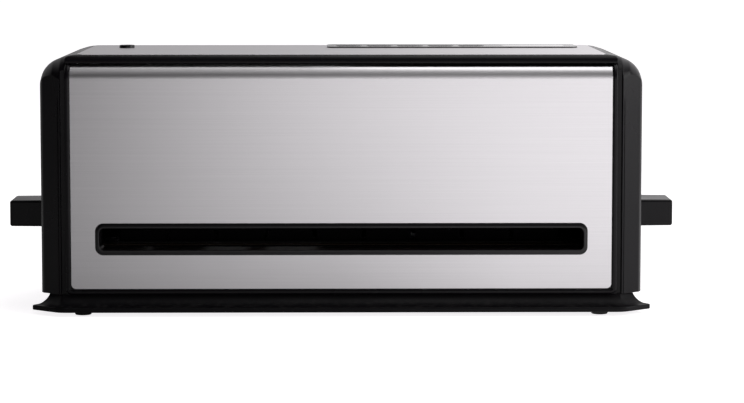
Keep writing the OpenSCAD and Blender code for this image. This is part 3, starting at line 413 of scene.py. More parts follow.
sheetLow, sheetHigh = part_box("front_panel")
cheekLow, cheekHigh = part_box("right_cheek")
baseLow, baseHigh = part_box("base_pan")
bezelLow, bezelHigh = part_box("slot_bezel")
topLow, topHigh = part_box("top_panel")
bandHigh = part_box("top_frame")[1]
frameLow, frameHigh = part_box("front_frame")
frontY = sheetLow.y
bodyZ = cheekLow.z
topZ = topHigh.z
slotMid = (bezelLow.z + bezelHigh.z) / 2

sheet = {
    "roll": 10 * mm,          # radius of the roll along the top edge
    "rollTurn": 74,           # how far the roll turns, in degrees
    "cornerRadius": 3 * mm,   # lower corners
    "thickness": 0.6 * mm,
    "rollSteps": 22,
    "columns": 40,
}
slot = {
    "halfWidth": bezelHigh.x - 2.7 * mm,
    "halfHeight": (bezelHigh.z - bezelLow.z) / 2 - 3.35 * mm,
    "radius": 3.2 * mm,
    "outerRadius": 5.2 * mm,
    "throatWall": 1.4 * mm,
    "holeRadius": 4.6 * mm,   # of the hole in the sheet and the plate behind it
}
rollZ = sheetHigh.z - sheet["roll"] * math.sin(math.radians(sheet["rollTurn"]))
bead = {
    "corner": 2.2 * mm,       # radius of its lower corners
    "depth": 3.0 * mm,        # how far it runs back
    "steps": 16,              # along the roll
    "bendSteps": 9,
    "bottomSteps": 23,
    "plateBack": 3.1 * mm,    # the plate behind the sheet, between these two depths
    "plateFront": 0.75 * mm,
}


def frameLoop(low, high, radii, columns, rows, steps):
    # closed loop round a rectangle in X and Z: top, left, bottom and right sides with a corner arc between
    (x0, z0), (x1, z1) = low, high
    topRight, topLeft, bottomLeft, bottomRight = radii
    turn = np.linspace(0, math.pi / 2, steps + 1)
    parts = []
    corners = [((x1, z1), topRight, 0, (-1, -1)), ((x0, z1), topLeft, 1, (1, -1)),
               ((x0, z0), bottomLeft, 2, (1, 1)), ((x1, z0), bottomRight, 3, (-1, 1))]
    for k, (corner, radius, quarter, inward) in enumerate(corners):
        centre = np.array(corner) + radius * np.array(inward)
        angle = turn + quarter * math.pi / 2
        arc = centre + radius * np.stack([np.cos(angle), np.sin(angle)], -1)
        parts.append(arc)
        nextCorner, nextRadius, nextQuarter, nextInward = corners[(k + 1) % 4]
        nextCentre = np.array(nextCorner) + nextRadius * np.array(nextInward)
        nextAngle = nextQuarter * math.pi / 2
        target = nextCentre + nextRadius * np.array([math.cos(nextAngle), math.sin(nextAngle)])
        count = columns if k % 2 == 0 else rows
        t = np.linspace(0, 1, count + 1)[1:-1, None]
        parts.append(arc[-1] * (1 - t) + target * t)
    return np.concatenate(parts)


def holedFace(y, low, high, radii, holeHalf, holeRadius, holeZ, columns=40, rows=12, steps=6):
    # a flat face at one Y: straight lines from the slot's edge to the outer edge
    outer = frameLoop(low, high, radii, columns, rows, steps)
    inner = frameLoop((-holeHalf[0], holeZ - holeHalf[1]), (holeHalf[0], holeZ + holeHalf[1]),
                      (holeRadius,) * 4, columns, rows, steps)
    t = np.array([0, 0.02, 0.5, 0.98, 1])[:, None, None]
    flat = inner * (1 - t) + outer * t
    return np.stack([flat[..., 0], np.full(flat.shape[:2], y), flat[..., 1]], -1)


def makeFrontSheet():
    c = sheet["cornerRadius"]
    hole = (slot["halfWidth"] + 1.7 * mm, slot["halfHeight"] + 1.7 * mm)
    face = holedFace(frontY, (sheetLow.x, sheetLow.z), (sheetHigh.x, rollZ), (0, 0, c, c), hole,
                     slot["holeRadius"], slotMid, sheet["columns"])
    # roll: a circle's arc in Y and Z carried along X, shorter near its end so that its corners are round
    turn = np.radians(np.linspace(0, sheet["rollTurn"], sheet["rollSteps"]))
    left = sheet["roll"] * (turn[-1] - turn)
    near = np.clip(c - left, 0, c)
    halfX = sheetHigh.x - c + np.sqrt(np.maximum(c * c - near * near, 0))
    x = halfX[:, None] * np.linspace(1, -1, sheet["columns"] + 1)
    roll = np.stack(np.broadcast_arrays(
        x, (frontY + sheet["roll"] * (1 - np.cos(turn)))[:, None],
        (rollZ + sheet["roll"] * np.sin(turn))[:, None]), -1)
    piece = surface("frontSheet", [(face, True), (roll, False)], facing=(0, -1, 0.1))
    solid(piece, sheet["thickness"])
    return finish(piece, "housing", "brushed_panel", frontSteel, "front_panel")


def carried(path, across, out, profile):
    # a profile of (across, out) carried along a path
    sideways, outwards = profile[None, :, 0, None], profile[None, :, 1, None]
    return path[:, None] + across[:, None] * sideways + out[:, None] * outwards


def makeFrontBead():
    half = (frameHigh.x - sheetHigh.x - 0.2 * mm) / 2
    beadX = frameHigh.x - half
    beadZ = frameLow.z + half
    radius = sheet["roll"]
    cornerR = bead["corner"]
    proud = frontY - frameLow.y
    # side: up from the bottom corner, then round with the sheet's roll
    steps, bendSteps, bottomSteps = bead["steps"], bead["bendSteps"], bead["bottomSteps"]
    turn = np.radians(np.linspace(sheet["rollTurn"], 0, steps))
    arcPath = np.stack([np.full(steps, beadX), frontY + radius * (1 - np.cos(turn)),
                        rollZ + radius * np.sin(turn)], -1)
    arcOut = np.stack([np.zeros(steps), -np.cos(turn), np.sin(turn)], -1)
    bend = np.linspace(0, math.pi / 2, bendSteps)
    bendPath = np.stack([beadX - cornerR + cornerR * np.cos(bend), np.full(bendSteps, frontY),
                         beadZ + cornerR - cornerR * np.sin(bend)], -1)
    bendAcross = np.stack([np.cos(bend), np.zeros(bendSteps), -np.sin(bend)], -1)
    bottomX = np.linspace(beadX - cornerR, 0, bottomSteps + 1)[1:]
    bottomPath = np.stack([bottomX, np.full(bottomSteps, frontY), np.full(bottomSteps, beadZ)], -1)
    rightPath = np.concatenate([arcPath, bendPath, bottomPath])
    rightOut = np.concatenate([arcOut, np.tile([0, -1, 0], (bendSteps + bottomSteps, 1))])
    rightAcross = np.concatenate([np.tile([1, 0, 0], (steps, 1)), bendAcross,
                                  np.tile([0, 0, -1], (bottomSteps, 1))])
    flip = np.array([-1, 1, 1])
    path = np.concatenate([rightPath, (rightPath * flip)[-2::-1]])
    out = np.concatenate([rightOut, (rightOut * flip)[-2::-1]])
    across = np.concatenate([rightAcross, (rightAcross * flip)[-2::-1]])
    depth = -bead["depth"]
    section = roundedPath(
        [(-half, depth), (-half, proud * 0.55), (-half * 0.35, proud), (half * 0.45, proud),
         (half, proud * 0.1), (half, depth)],
        [0, 0.5 * mm, 0.9 * mm, 0.9 * mm, 0.5 * mm, 0], 4)
    strip = carried(path, across, out, section)
    ends = [np.stack([strip[i], np.broadcast_to(strip[i].mean(0), strip[i].shape)]) for i in (0, -1)]
    back = np.stack([strip[:, 0], strip[:, -1]], 1)
    beadShell = surface("beadShell", [(strip, False), (back, False), (ends[0], False), (ends[1], False)])
    # plate behind the sheet
    c = 1 * mm
    hole = (slot["halfWidth"] + 1.8 * mm, slot["halfHeight"] + 1.8 * mm)
    faces = [(holedFace(frontY + depth, (frameLow.x, frameLow.z), (frameHigh.x, rollZ), (c,) * 4,
                        hole, slot["holeRadius"], slotMid, 24), True)
             for depth in (bead["plateBack"], bead["plateFront"])]
    rims = [(np.stack([faces[0][0][k], faces[1][0][k]]), True) for k in (0, -1)]
    plate = surface("beadPlate", faces + rims)
    piece = joined("frontBead", [beadShell, plate])
    shade(piece)
    return finish(piece, "housing", "frame_plastic", blackBead, "front_frame")


def makeSlotBezel():
    # rounded rectangles that shrink from the outer edge to the opening, then run back as the throat
    outerA, outerB = bezelHigh.x, (bezelHigh.z - bezelLow.z) / 2
    proudY = bezelLow.y
    back = bezelHigh.y
    wall = slot["throatWall"]
    # w is the way from outer edge (0) to opening (1)
    w = np.array([0, 0, 0.05, 0.5, 0.57, 0.62, 0.84, 0.9, 0.96, 1.0, 1.0, 1.0])
    y = np.array([frontY, proudY + 0.75 * mm, proudY + 0.66 * mm, proudY + 0.25 * mm, proudY + 0.05 * mm,
                  proudY, proudY, proudY + 0.06 * mm, proudY + 0.3 * mm, proudY + 0.8 * mm,
                  frontY + 4 * mm, back])
    a = outerA + w * (slot["halfWidth"] - outerA)
    b = outerB + w * (slot["halfHeight"] - outerB)
    r = slot["outerRadius"] + w * (slot["radius"] - slot["outerRadius"])
    a = np.append(a, [slot["halfWidth"] + wall] * 2 + [outerA])
    b = np.append(b, [slot["halfHeight"] + wall] * 2 + [outerB])
    r = np.append(r, [slot["radius"] + wall] * 2 + [slot["outerRadius"]])
    y = np.append(y, [back, frontY + 0.02 * mm, frontY])
    rings = place(roundRings(a, b, r, 8), y, "xzy", (0, 0, slotMid))
    piece = surface("slotBezelRing", [(rings, True)])
    return finish(piece, "housing", "bezel_plastic", bezelBlack, "slot_bezel")


makeFrontSheet()
makeFrontBead()
makeSlotBezel()
print("front ready")


cheek = {
    "innerCorner": 17 * mm,    # front and rear corners of the side outline, at the inner lip
    "outerCorner": 24 * mm,    # and at the outer face
    "crownRadius": 40 * mm,    # slow crown towards the side
    "crownStart": 27 * mm,     # where the crown begins, in from the side
    "crownEnd": 9 * mm,        # where it gives way to the round edge
    "edgeDrop": 17.8 * mm,     # height of the round edge
    "bevelDepth": 9.5 * mm,
    "grooveWidth": 2.6 * mm,
    "grooveDepth": 2.4 * mm,
    "lip": 0.5 * mm,           # how far the inner lip stands behind the front
    "wall": 1.6 * mm,
    "bottomSteps": 22,
    "innerX": 9 * mm,          # how far in the lower edge turns
}
gripLow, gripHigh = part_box("right_grip")


def frontSection():
    # (X, inset from the front face): groove, lip, flat bevel, round to the side
    sideX = cheekHigh.x
    lipX = cheekLow.x + cheek["grooveWidth"]
    lip = cheek["lip"]
    corners = [(cheekLow.x, cheek["grooveDepth"]), (lipX, cheek["grooveDepth"]), (lipX + 0.4 * mm, lip),
               (lipX + 0.7 * mm, lip), (sideX - 1.6 * mm, cheek["bevelDepth"]),
               (sideX, cheek["bevelDepth"] + 3.5 * mm)]
    return roundedPath(corners, [0, 0.3 * mm, 0.1 * mm, 0.25 * mm, 2.5 * mm, 0], 5)


def topSection(x):
    # drop of the crown at each X: a circle, then a quadratic curve down to the side, by its own parameter
    sideX = cheekHigh.x
    big = cheek["crownRadius"]
    middle = sideX - cheek["crownStart"]
    endX = sideX - cheek["crownEnd"]
    over = min(endX - middle, big)
    endDrop = big - math.sqrt(big * big - over * over)
    slope = over / math.sqrt(big * big - over * over)
    circle = big - np.sqrt(big * big - np.clip(x - middle, 0, over) ** 2)
    first = np.array([endX, endDrop])
    last = np.array([sideX, cheek["edgeDrop"]])
    between = np.array([sideX, endDrop + slope * (sideX - endX)])
    a = first[0] - 2 * between[0] + last[0]
    half = between[0] - first[0]
    c = first[0] - np.clip(x, endX, sideX)
    root = (-half + np.sqrt(np.maximum(half * half - a * c, 0))) / (a or 1)
    t = np.where(abs(a) < 1e-9, -c / (2 * half), root)
    curve = (1 - t) ** 2 * first[1] + 2 * t * (1 - t) * between[1] + t * t * last[1]
    return np.where(x < endX, circle, curve)


def makeCheek(side):
    section = frontSection()
    # columns along the bevel, then the round edge by its angle
    bend = np.sin(np.linspace(0, math.pi / 2, 9)[1:])
    endX = cheekHigh.x - cheek["crownEnd"]
    last = 3 * mm
    xTop = np.concatenate([section[section[:, 0] < endX - 0.3 * mm, 0],
                           np.linspace(endX, cheekHigh.x - last, 7)[:-1], cheekHigh.x - last + last * bend])
    inset = np.interp(xTop, section[:, 0], section[:, 1])
    drop = topSection(xTop)
    share = np.clip((xTop - cheekLow.x - cheek["grooveWidth"]) / (cheek["crownEnd"]), 0, 1)
    corner = cheek["innerCorner"] + share * (cheek["outerCorner"] - cheek["innerCorner"])
    corner = np.maximum(corner, inset + 1 * mm)
    y0 = cheekLow.y
    # the corner's arc starts where the bevel cuts it
    start = np.arccos(np.clip((corner - inset) / corner, -1, 1))
    turn = start[None] + (math.pi / 2 - start)[None] * np.linspace(0, 1, 16)[:, None]
    arcY = y0 + corner - corner * np.cos(turn)
    arcZ = topZ - drop - corner + corner * np.sin(turn)
    lowZ = bodyZ + (arcZ[0] - bodyZ)[None] * np.linspace(0, 1, 10)[:-1, None]
    lowY = np.broadcast_to(y0 + inset, lowZ.shape)
    topY = arcY[-1] + (0 - arcY[-1])[None] * np.linspace(0, 1, 7)[1:, None]
    flatZ = np.broadcast_to(topZ - drop, topY.shape)
    frontY2 = np.concatenate([lowY, arcY, topY])
    frontZ2 = np.concatenate([lowZ, arcZ, flatZ])
    halfGrid = np.stack([np.broadcast_to(xTop, frontY2.shape), frontY2, frontZ2], -1)
    rear = halfGrid[-2::-1] * np.array([1, -1, 1])
    strip = np.concatenate([halfGrid, rear])
    # flat side: straight lines from the strip's outer edge to the grip's window
    rim = strip[:, -1]
    count = cheek["bottomSteps"]
    bottom = np.stack([np.full(count, cheekHigh.x), np.linspace(rim[-1, 1], rim[0, 1], count + 2)[1:-1],
                       np.full(count, bodyZ)], -1)
    outer = np.concatenate([rim, bottom])
    low = np.array([grip["windowY"][0], grip["windowZ"][0]])
    high = np.array([grip["windowY"][1], grip["windowZ"][1]])
    mid, half = (low + high) / 2, (high - low) / 2
    way = outer[:, 1:] - mid
    angle = np.arctan2(way[:, 1] / half[1], way[:, 0] / half[0])
    reach = 1 / np.maximum(np.abs(np.cos(angle)), np.abs(np.sin(angle)))
    window = np.stack([outer[:, 0], mid[0] + half[0] * reach * np.cos(angle),
                       mid[1] + half[1] * reach * np.sin(angle)], -1)
    t = np.array([0, 0.03, 0.5, 0.97, 1])[:, None, None]
    flat = outer * (1 - t) + window * t
    # floor: the lower edge turned in
    lower = np.concatenate([strip[0], bottom[::-1], strip[-1][::-1]])
    turnedIn = lower.copy()
    turnedIn[:, 0] = np.minimum(lower[:, 0], cheekHigh.x - cheek["innerX"])
    way = np.array([side, 1, 1])
    piece = surface("rightCheekShell" if side > 0 else "leftCheekShell",
                    [(strip * way, False), (flat * way, True), (np.stack([lower, turnedIn]) * way, False)],
                    facing=(side, 0, 0.2), weld=4e-6, smoothAngle=18)
    solid(piece, cheek["wall"], 18)
    node = "right_cheek" if side > 0 else "left_cheek"
    return finish(piece, "housing", "cheek_plastic", blackMoulding, node)


grip = {
    "edge": 1.8 * mm, "draft": 0.2 * mm, "endRound": 1.6 * mm,
    "stemHalfDepth": 10 * mm, "stemHalfHeight": 5.5 * mm, "stemBehind": 5 * mm,
    "gap": 0.6 * mm,          # between the pad and the cheek
    "clear": 0.8 * mm,        # round the stem in the cheek's window
    "shutter": 1.6 * mm,
    "recess": 0.35 * mm,
    "halfHeight": 8.8 * mm,
    "halfDepth": (gripHigh.y - gripLow.y) / 2,
}
jawLow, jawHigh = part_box("jaw_beam")
travel = next(joint for joint in frame["joints"] if joint["name"] == "jaw_press")["range_m"][1]
grip["midY"] = (gripHigh.y + gripLow.y) / 2
grip["midZ"] = jawLow.z + grip["stemHalfHeight"] + 0.2 * mm
grip["stemY"] = grip["midY"] - grip["stemBehind"]
windowHalf = grip["stemHalfDepth"] + grip["clear"]
grip["windowY"] = (grip["stemY"] - windowHalf, grip["stemY"] + windowHalf)
grip["windowZ"] = (grip["midZ"] - grip["stemHalfHeight"] - travel - grip["clear"],
                   grip["midZ"] + grip["stemHalfHeight"] + grip["clear"])


def makeGrip(side):
    g = grip
    inner = cheekHigh.x + g["gap"]
    outer = gripHigh.x
    high = g["halfHeight"]
    path = roundedPath([(high, inner), (0, inner), (g["draft"], outer), (high, outer)],
                       [0, 0.5 * mm, g["endRound"], 0], 6)
    # a shallow recess in the end face
    sunk = outer - g["recess"]
    step = [[3.8 * mm, outer], [4.1 * mm, outer - 0.25 * mm], [4.8 * mm, sunk]]
    path = np.insert(path, len(path) - 1, step, axis=0)
    path[-1, 1] = sunk
    pad = stacked(g["halfDepth"], high, g["edge"], path, "yzx", (0, g["midY"], g["midZ"]), 7)[0]
    stemHigh, stemEnd = g["stemHalfHeight"], inner + 1 * mm
    stemPath = [(stemHigh, gripLow.x), (0, gripLow.x), (0, stemEnd), (stemHigh, stemEnd)]
    stemMid = (0, g["stemY"], g["midZ"])
    stem = stacked(g["stemHalfDepth"], stemHigh, 0.8 * mm, stemPath, "yzx", stemMid, 4)[0]
    plateX = cheekHigh.x - cheek["wall"] - 0.8 * mm - g["shutter"]
    plateHalfZ = (gripHigh.z - gripLow.z) / 2
    plateHalfY = g["stemHalfDepth"] + 3 * mm
    plateEnd, bevel = plateX + g["shutter"], 0.3 * mm
    platePath = [(plateHalfY, plateX), (bevel, plateX), (0, plateX + bevel), (0, plateEnd - bevel),
                 (bevel, plateEnd), (plateHalfY, plateEnd)]
    plate = stacked(plateHalfY, plateHalfZ, 1 * mm, platePath, "yzx",
                    (0, g["stemY"], (gripHigh.z + gripLow.z) / 2), 4)[0]
    shells = []
    for k, grid in enumerate((pad, stem, plate)):
        grid = grid * np.array([side, 1, 1])
        shells.append(surface(f"gripShell{k}", [(grid, True)]))
    piece = joined("rightGripPad" if side > 0 else "leftGripPad", shells)
    shade(piece)
    node = "right_grip" if side > 0 else "left_grip"
    return finish(piece, "sealing_jaw", "cheek_plastic", blackMoulding, node)


spring = {
    "wire": 0.58 * mm,        # half the wire's thickness
    "radius": 4.6 * mm, "turns": 7,
    "closedTurns": 1,         # at each end
    "pitch": 2.1,             # of the closed turns, in half thicknesses
    "steps": 26, "sides": 8,
}


def makeSprings():
    # two tubes along helices whose end turns lie close
    low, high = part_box("return_springs")
    wire, closed = spring["wire"], spring["closedTurns"]
    turn = np.linspace(0, spring["turns"], spring["turns"] * spring["steps"] + 1)
    lie = closed * spring["pitch"] * wire
    rise = high.z - low.z - 2 * wire
    height = low.z + wire + np.interp(turn, [0, closed, spring["turns"] - closed, spring["turns"]],
                                      [0, lie, rise - lie, rise])
    around = 2 * math.pi * turn
    out = np.stack([np.cos(around), np.sin(around), np.zeros(len(turn))], -1)
    bend = np.linspace(0, 2 * math.pi, spring["sides"], endpoint=False)
    shells = []
    for side in (1, -1):
        middle = np.array([side * (high.x - spring["radius"] - wire), (low.y + high.y) / 2, 0])
        line = middle + spring["radius"] * out + height[:, None] * np.array([0, 0, 1])
        tube = (line[:, None] + wire * np.cos(bend)[None, :, None] * out[:, None]
                + wire * np.sin(bend)[None, :, None] * np.array([0, 0, 1]))
        ends = [(np.stack([tube[k], np.broadcast_to(line[k], tube[k].shape)]), True) for k in (0, -1)]
        shells.append(surface("springShell", [(tube, True)] + ends))
    piece = joined("returnSprings", shells)
    shade(piece)
    finish(piece, "housing", "spring_steel", springWire, "return_springs")
    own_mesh(piece)


for side in (1, -1):
    makeCheek(side)
    makeGrip(side)
makeSprings()
print("cheeks, grips and springs ready")


base = {
    "skirt": 12.5 * mm,       # radius of the hollow skirt
    "edge": 0.7 * mm,
    "plate": 3.2 * mm,
    "reach": 11.3 * mm,       # from the plate's edge in to the neck
    "neckCorner": 8.7 * mm,
    "earWidth": 19 * mm,      # pointed corners, along X
    "earDepth": 15 * mm,      # and along Y
    "waist": 6 * mm,          # how far the sides stand in behind them
    "ledge": 1.2 * mm,        # flat rim outside the skirt
    "earRound": 1.0 * mm,
    "wall": 2.4 * mm,
}


def plateOutline():
    # plan of the plate, one quarter after another: front edge, pointed corner, waisted side
    halfX, halfY = baseHigh.x, baseHigh.y
    tipY = halfY - base["earDepth"]
    waistX, waistY = halfX - base["waist"], tipY - 1.6 * base["waist"]
    quarter = roundedPath([(0, halfY), (halfX - base["earWidth"], halfY), (halfX, tipY),
                           (waistX, waistY), (waistX, 0)],
                          [0, 14 * mm, base["earRound"], 9 * mm, 0], 8)
    way = quarter[1:] - quarter[:-1]
    counts = np.maximum(1, np.round(np.linalg.norm(way, axis=1) / (6 * mm))).astype(int)
    fine = [quarter[:1]]
    for start, step, count in zip(quarter[:-1], way, counts):
        fine.append(start + step * np.linspace(0, 1, count + 1)[1:, None])
    quarter = np.concatenate(fine)
    right = np.concatenate([quarter, (quarter * [1, -1])[-2::-1]])
    return np.concatenate([right, (right * [-1, 1])[-2:0:-1]])


def neckOutline(plate):
    # the neck is a rounded rectangle: each point of the plate's edge slides in to it
    halfX, halfY, r = baseHigh.x - base["reach"], baseHigh.y - base["reach"], base["neckCorner"]
    side = np.sign(plate)
    inner = np.array([halfX - r, halfY - r])
    over = np.maximum(np.abs(plate) * [halfX / baseHigh.x, halfY / baseHigh.y] - inner, 0)
    reach = np.maximum(np.linalg.norm(over, axis=1, keepdims=True), 1e-9)
    onEdge = np.minimum(np.abs(plate), inner) + over / reach * r
    return side * onEdge


def makeBase():
    plate = plateOutline()
    neck = neckOutline(plate)
    count = len(plate)
    low, top = baseLow.z, baseLow.z + base["plate"]
    r, e, reach = base["skirt"], base["edge"], base["reach"]
    inward = (neck - plate) / np.linalg.norm(neck - plate, axis=1, keepdims=True)
    # rounded lip
    lip = roundedPath([(3 * mm, low), (0, low), (0, top), (base["ledge"], top)], [0, e, e, 0], 5)
    rows = [np.column_stack([plate * 0.001, np.full(count, low)])]
    rows += [np.column_stack([plate + inward * inset, np.full(count, z)]) for inset, z in lip]
    # hollow skirt: a circle's arc from the lip to the neck, stretched to each point's own way in
    full = r - math.sqrt(r * r - reach * reach)
    start = plate + inward * base["ledge"]
    for u in np.linspace(0, 1, 14)[1:]:
        height = (r - math.sqrt(r * r - (u * reach) ** 2)) / full
        z = top + (bodyZ - top) * height
        rows.append(np.column_stack([start + (neck - start) * u, np.full(count, z)]))
    # inner wall and floor
    half = np.array([baseHigh.x, baseHigh.y]) - reach
    inside = neck * ((half - base["wall"]) / half)
    for share, z in ((1, bodyZ), (1, top), (0.001, top)):
        rows.append(np.column_stack([inside * share, np.full(count, z)]))
    piece = surface("flaredBase", [(np.stack(rows), True)], smoothAngle=35)
    return finish(piece, "housing", "base_plastic", baseMoulding, "base_pan")


foot = {"radius": 5.3 * mm, "hollow": 0.4 * mm}


def makeFeet():
    low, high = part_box("feet")
    r, hollow = foot["radius"], low.z + foot["hollow"]
    path = roundedPath([(r, high.z), (0, high.z), (0, low.z), (r, low.z)], [0, 0.2 * mm, 0.6 * mm, 0], 4)
    path = np.insert(path, len(path) - 1, [[1.6 * mm, low.z], [2.0 * mm, hollow]], axis=0)
    path[-1, 1] = hollow
    shells = []
    for x in (low.x + r, high.x - r):
        for y in (low.y + r, high.y - r):
            grid = stacked(r, r, r, path, "xyz", (x, y, 0), 8)
            shells.append(surface("footShell", [grid]))
    piece = joined("rubberFeet", shells)
    shade(piece, 50)
    return finish(piece, "housing", "foot_rubber", footRubber, "feet")


makeBase()
makeFeet()
print("base ready")


band = {
    "radius": 4.6 * mm,       # round of the front edge
    "ledge": 6 * mm,
    "wall": 2.4 * mm,
    "cornerFrom": 0.4 * mm, "cornerTo": 4.0 * mm,
}


def makeTopBand():
    # a ring whose height is the lower of the front edge's round and the cheeks' crown
    halfX, halfY = bandHigh.x, bandHigh.y
    innerX, innerY = topHigh.x + 0.2 * mm, topHigh.y + 0.2 * mm
    flat = bandHigh.z
    loops = []
    for share in (0, 0.03, 0.08, 0.15, 0.25, 0.38, 0.55, 0.75, 1.0):
        ax, ay = halfX + share * (innerX - halfX), halfY + share * (innerY - halfY)
        radius = band["cornerFrom"] + share * (band["cornerTo"] - band["cornerFrom"])
        loops.append(frameLoop((-ax, -ay), (ax, ay), (radius,) * 4, 60, 40, 6))
    flatLoops = np.stack(loops)
    x, y = flatLoops[..., 0], flatLoops[..., 1]
    r = band["radius"]
    fromEdge = np.clip(r - (halfY - np.abs(y)), 0, r)
    frontHeight = flat - r + np.sqrt(np.maximum(r * r - fromEdge ** 2, 0))
    over = np.clip(np.abs(x) - (cheekHigh.x - cheek["crownStart"]), 0, None)
    big = cheek["crownRadius"]
    sideHeight = topZ - (big - np.sqrt(big * big - over ** 2)) - 0.05 * mm
    z = np.minimum(frontHeight, np.minimum(sideHeight, flat))
    top = np.stack([x, y, z], -1)
    low = top[0].copy()
    low[:, 2] = sheetHigh.z + 0.6 * mm
    inner = top[-1].copy()
    down = inner.copy()
    down[:, 2] = topLow.z
    ledge = down.copy()
    ledge[:, :2] *= np.array([(innerX - band["ledge"]) / innerX, (innerY - band["ledge"]) / innerY])
    under = ledge.copy()
    under[:, 2] = low[0, 2] + 1.5 * mm
    lowIn = low.copy()
    lowIn[:, :2] *= np.array([(halfX - band["wall"]) / halfX, (halfY - band["wall"]) / halfY])
    rows = np.concatenate([low[None], top, down[None], ledge[None], under[None], lowIn[None], low[None]])
    piece = surface("topEdge", [(rows, True)], smoothAngle=35)
    return finish(piece, "housing", "frame_plastic", blackBead, "top_frame")


button = {"skirt": 2.2 * mm, "rim": 0.9 * mm, "dish": 0.35 * mm, "corner": 4 * mm, "stem": 1.7 * mm}


def makeButtons():
    # dished oval caps, each on a round stem
    stemR, rim = button["stem"], button["rim"]
    for name in ("mode", "pulse", "seal", "start", "stop"):
        node = "button_" + name
        low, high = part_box(node)
        mid = ((low.x + high.x) / 2, (low.y + high.y) / 2, 0)
        halfX, halfY = (high.x - low.x) / 2, (high.y - low.y) / 2
        z = high.z
        capLow = topZ - button["skirt"]
        path = [(halfY, capLow), (0, capLow)]
        path += roundedPath([(0, capLow), (0.1 * mm, z), (halfY, z)], [0, 0.5 * mm, 0], 5)[1:-1].tolist()
        dish = np.linspace(rim, halfY, 7)
        sink = button["dish"] * np.sin((dish - rim) / (halfY - rim) * math.pi / 2) ** 2
        path += np.stack([dish, z - sink], -1).tolist()
        cap = surface("capShell", [stacked(halfX, halfY, button["corner"], path, "xyz", mid, 7)])
        stemTop = capLow + 0.3 * mm
        stemPath = [(stemR, low.z), (0, low.z), (0, stemTop), (stemR, stemTop)]
        stem = surface("stemShell", [stacked(stemR, stemR, stemR, stemPath, "xyz", mid, 5)])
        piece = joined(name + "Button", [cap, stem])
        shade(piece)
        finish(piece, node + "_cap", "button_plastic", buttonGrey, node)


port = {"bore": 3 * mm, "depth": 12 * mm, "wall": 1.2 * mm, "round": 0.5 * mm, "nippleBore": 1.4 * mm,
        "nipple": 2.6 * mm, "floor": 1.5 * mm}


def makePort():
    # a collar in the top with a deep bore, and a nipple under it
    low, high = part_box("hose_port")
    x, y = (low.x + high.x) / 2, (low.y + high.y) / 2
    collar = (high.x - low.x) / 2
    bore, edge, small = port["bore"], port["round"], 0.15 * mm
    wall, nipple, inner = bore + port["wall"], port["nipple"], port["nippleBore"]
    top = high.z
    floorZ = top - port["depth"]
    under = floorZ - port["floor"]
    radius = np.array([wall, wall, collar, collar, collar - small, collar - edge, bore + edge,
                       bore + small, bore, bore, inner, inner, nipple, nipple, wall])
    z = np.array([under, topZ, topZ, top - edge, top - small, top, top, top - small,
                  top - edge, floorZ, floorZ, low.z, low.z, under, under])
    rings = place(roundRings(radius, radius, radius, 10), z, "xyz", (x, y, 0))
    piece = surface("portCollar", [(rings, True)])
    return finish(piece, "housing", "bezel_plastic", bezelBlack, "hose_port")


def softened(node, name, width, material, slotName, body="housing", segments=2):
    # a copy of the CAD solid with its loose triangles merged and its edges rounded
    mesh = frame["nodes"][node].data.copy()
    mesh.name = name
    work = bmesh.new()
    work.from_mesh(mesh)
    bmesh.ops.remove_doubles(work, verts=work.verts, dist=1e-6)
    bmesh.ops.dissolve_limit(work, angle_limit=math.radians(1.5), verts=work.verts, edges=work.edges)
    bmesh.ops.recalc_face_normals(work, faces=work.faces)
    work.to_mesh(mesh)
    work.free()
    piece = bpy.data.objects.new(name, mesh)
    scene.collection.objects.link(piece)
    mesh.shade_smooth()
    edge = piece.modifiers.new("softEdge", "BEVEL")
    edge.width = width
    edge.segments = segments
    edge.limit_method = "ANGLE"
    edge.angle_limit = math.radians(40)
    edge.harden_normals = False
    return finish(piece, body, slotName, material, node)


makeTopBand()
makeButtons()
makePort()
softened("control_panel", "controlPanelShell", 0.35 * mm, glossPanel, "panel_gloss")
softened("rear_cover", "rearCoverShell", 0.3 * mm, blackMoulding, "frame_plastic")
softened("power_inlet", "mainsInlet", 0.3 * mm, bezelBlack, "inlet_plastic")
softened("lower_jaw", "lowerJawShell", 0.4 * mm, jawBlack, "jaw_plastic")
softened("jaw_beam", "upperJawShell", 0.4 * mm, jawBlack, "jaw_plastic", "sealing_jaw")
softened("pressure_pad", "sealingPad", 0.5 * mm, padSilicone, "pad_silicone", "sealing_jaw")
print("top ready")


# brightness across the light: u is sideways over forwards, as mirrored by the front
fall = {
    "dimFrom": -0.13, "dim": 0.05, "knee": 0.0, "kneeValue": 1.41,
    "bright": 0.11, "brightValue": 1.66,
    "fadeFrom": 0.2, "fadeTo": 0.9, "fade": 0.75,
    "mirrorY": 1.51,          # where the camera stands behind the mirror
}


def acrossLight(s, u):
    # two straight slopes up from left to right, then a slow fade at the far right
    low = s.ramp(u, fall["dimFrom"], fall["knee"], fall["dim"], fall["kneeValue"])
    more = s.ramp(u, fall["knee"], fall["bright"], 0.0, fall["brightValue"] - fall["kneeValue"])
    fade = s.ramp(u, fall["fadeFrom"], fall["fadeTo"], 1.0, fall["fade"])
    return s.math("MULTIPLY", s.math("ADD", low, more), fade)


